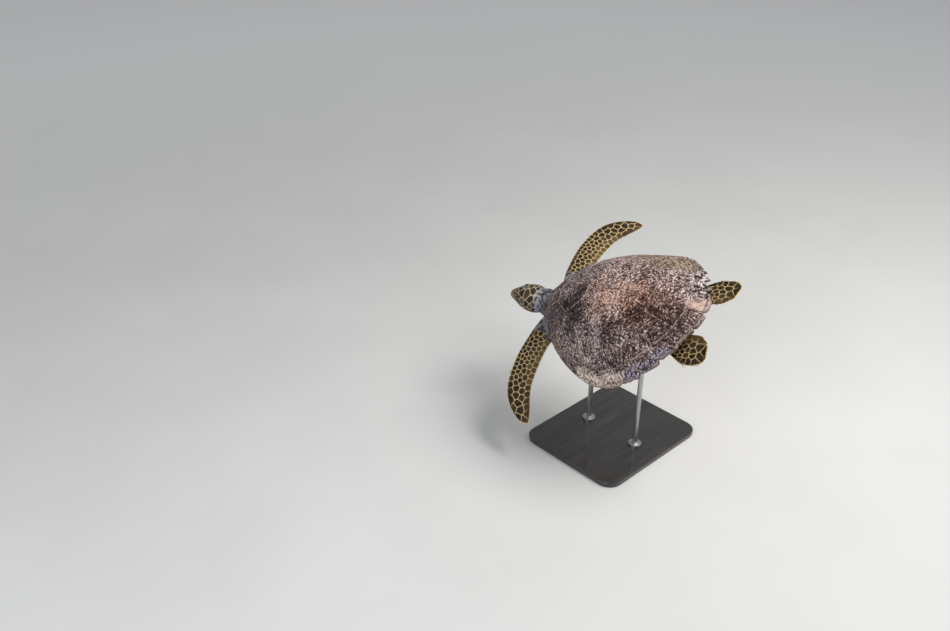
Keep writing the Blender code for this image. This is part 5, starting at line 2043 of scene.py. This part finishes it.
def claw_material():
    """Pale horn, streaked dark along the claw."""
    shade = Shade("claw_horn", roughness=0.3, coat=0.3)
    streak = shade.attribute("place").stretched((300.0, 300.0, 60.0)).noise(1.0, 3.0)
    dark = streak.step(0.45, 0.65, 0.0, 0.5)
    color = shade.mix(dark, shade.attribute("tint"), (0.045, 0.028, 0.016))
    return shade.finish(color, streak.step(0.3, 0.7, 0.25, 0.42), shade.bump(streak, 0.0005, 0.6))


def board_material():
    """Black lacquer over close-grained wood."""
    shade = Shade("black_lacquer", coat=0.6)
    place = shade.object_place()
    grain = place.stretched((3.0, 60.0, 60.0)).noise(1.0, 5.0, 0.65, 1.2)
    color = grain.ramp((0.35, (0.012, 0.011, 0.011)), (0.60, (0.030, 0.026, 0.024)),
                       (0.75, (0.050, 0.040, 0.034)))
    dust = place.noise(9.0, 4.0, 0.6).step(0.35, 0.70, 0.22, 0.42)
    return shade.finish(color, dust, shade.bump(grain, 0.0006, 0.5))


def steel_material():
    """Round bar with a fine brushed finish."""
    shade = Shade("brushed_steel", metallic=1.0)
    brushed = shade.object_place().stretched((900.0, 900.0, 14.0)).noise(1.0, 3.0, 0.6)
    color = brushed.ramp((0.35, (0.30, 0.30, 0.31)), (0.65, (0.58, 0.58, 0.59)))
    return shade.finish(color, brushed.step(0.3, 0.7, 0.24, 0.40), shade.bump(brushed, 0.0002, 0.5))


def floor_material():
    """Pale paint, with painted light that makes it paler away from the stand, so that the far floor
    meets the backdrop.
    """
    shade = Shade("studio_floor_paint", roughness=0.9, specular=0.2)
    place = shade.object_place()
    color = place.noise(1.3, 3.0).ramp((0.3, (0.600, 0.600, 0.592)), (0.7, (0.640, 0.640, 0.632)))
    x, y, _ = place.parts()
    away = (x * x + y * y).math("SQRT")
    # painted light: the floor is painted paler far from the stand, to make up for the lamps' light
    # falling off there
    color = shade.mix(away.step(*FLOOR_PAINTED_LIGHT_SPAN), color, FLOOR_FAR_PAINTED_LIGHT)
    return shade.finish(color, None, shade.bump(place.noise(90.0, 2.0), 0.0006, 0.3))


def dress_stand():
    steel = steel_material()
    looks = {"stand_base": board_material(), "stand_rod_front": steel, "stand_rod_rear": steel}
    for name, material in looks.items():
        materials = bpy.data.objects[name].data.materials
        materials.clear()
        materials.append(material)


# ---- Stage ---------------------------------------------------------------------------

FLOOR_HALF = 60
CAMERA_LENS = 37.89          # with the sensor, the view fitted to the photo
CAMERA_SENSOR = 36.0
CAMERA_AT = (2.406, 1.842, 2.241)
CAMERA_WAY = (-0.590, -0.633, -0.501)
LIT_PLACE = (0, 0, 0.5)
BACKDROP = (0.86, 0.88, 0.90, 1)
BACKDROP_STRENGTH = 0.42
# Name, place, size, power and colour
LIGHTS = (("key", (-1.2, 1.6, 3.6), 2.2, 150, (1.0, 0.98, 0.95)),
          ("fill", (3.2, 0.4, 2.2), 2.5, 45, (0.93, 0.96, 1.0)))


def look_along(holder, place, way):
    holder.location = place
    holder.rotation_euler = way.to_track_quat("-Z", "Y").to_euler()


def make_stage():
    corners = [(x * FLOOR_HALF, y * FLOOR_HALF, 0) for x, y in ((-1, -1), (1, -1), (1, 1), (-1, 1))]
    mesh = bpy.data.meshes.new("studio_floor")
    mesh.from_pydata(corners, [], [(0, 1, 2, 3)])
    mesh.materials.append(floor_material())
    floor = new_object("studio_floor", mesh)


def make_camera():
    camera = bpy.data.cameras.new("camera")
    camera.lens = CAMERA_LENS
    camera.sensor_width = CAMERA_SENSOR
    holder = new_object("camera", camera)
    look_along(holder, CAMERA_AT, Vector(CAMERA_WAY))
    bpy.context.scene.camera = holder


def make_lights():
    world = bpy.data.worlds.new("studio")
    world.use_nodes = True
    background = world.node_tree.nodes["Background"]
    background.inputs["Color"].default_value = BACKDROP
    background.inputs["Strength"].default_value = BACKDROP_STRENGTH
    bpy.context.scene.world = world
    bpy.context.scene.view_settings.view_transform = "Standard"
    for name, place, size, power, color in LIGHTS:
        light = bpy.data.lights.new(name, "AREA")
        light.shape = "DISK"
        light.size = size
        light.energy = power
        light.color = color
        look_along(new_object(name, light), place, Vector(LIT_PLACE) - Vector(place))


def main():
    make_camera()
    make_stage()
    make_lights()
    dress_stand()
    make_carapace(horn_material())
    make_plastron(belly_material())
    skin, points, faces = make_skin(skin_material())
    skin_tree = BVHTree.FromPolygons(points.tolist(), faces)
    scale = scale_material()
    coats = [flipper_scales(blade, skin_tree, scale) for blade in BLADES.values()]
    coats.append(head_scales(skin_tree, scale))
    paint_skin(skin, points, coats)
    make_beak(beak_material())
    eye = eye_material()
    for name, side in SIDES:
        make_eye(name, side, eye)
        make_lids(name, side, skin_tree, scale)
    make_claws(claw_material())


main()
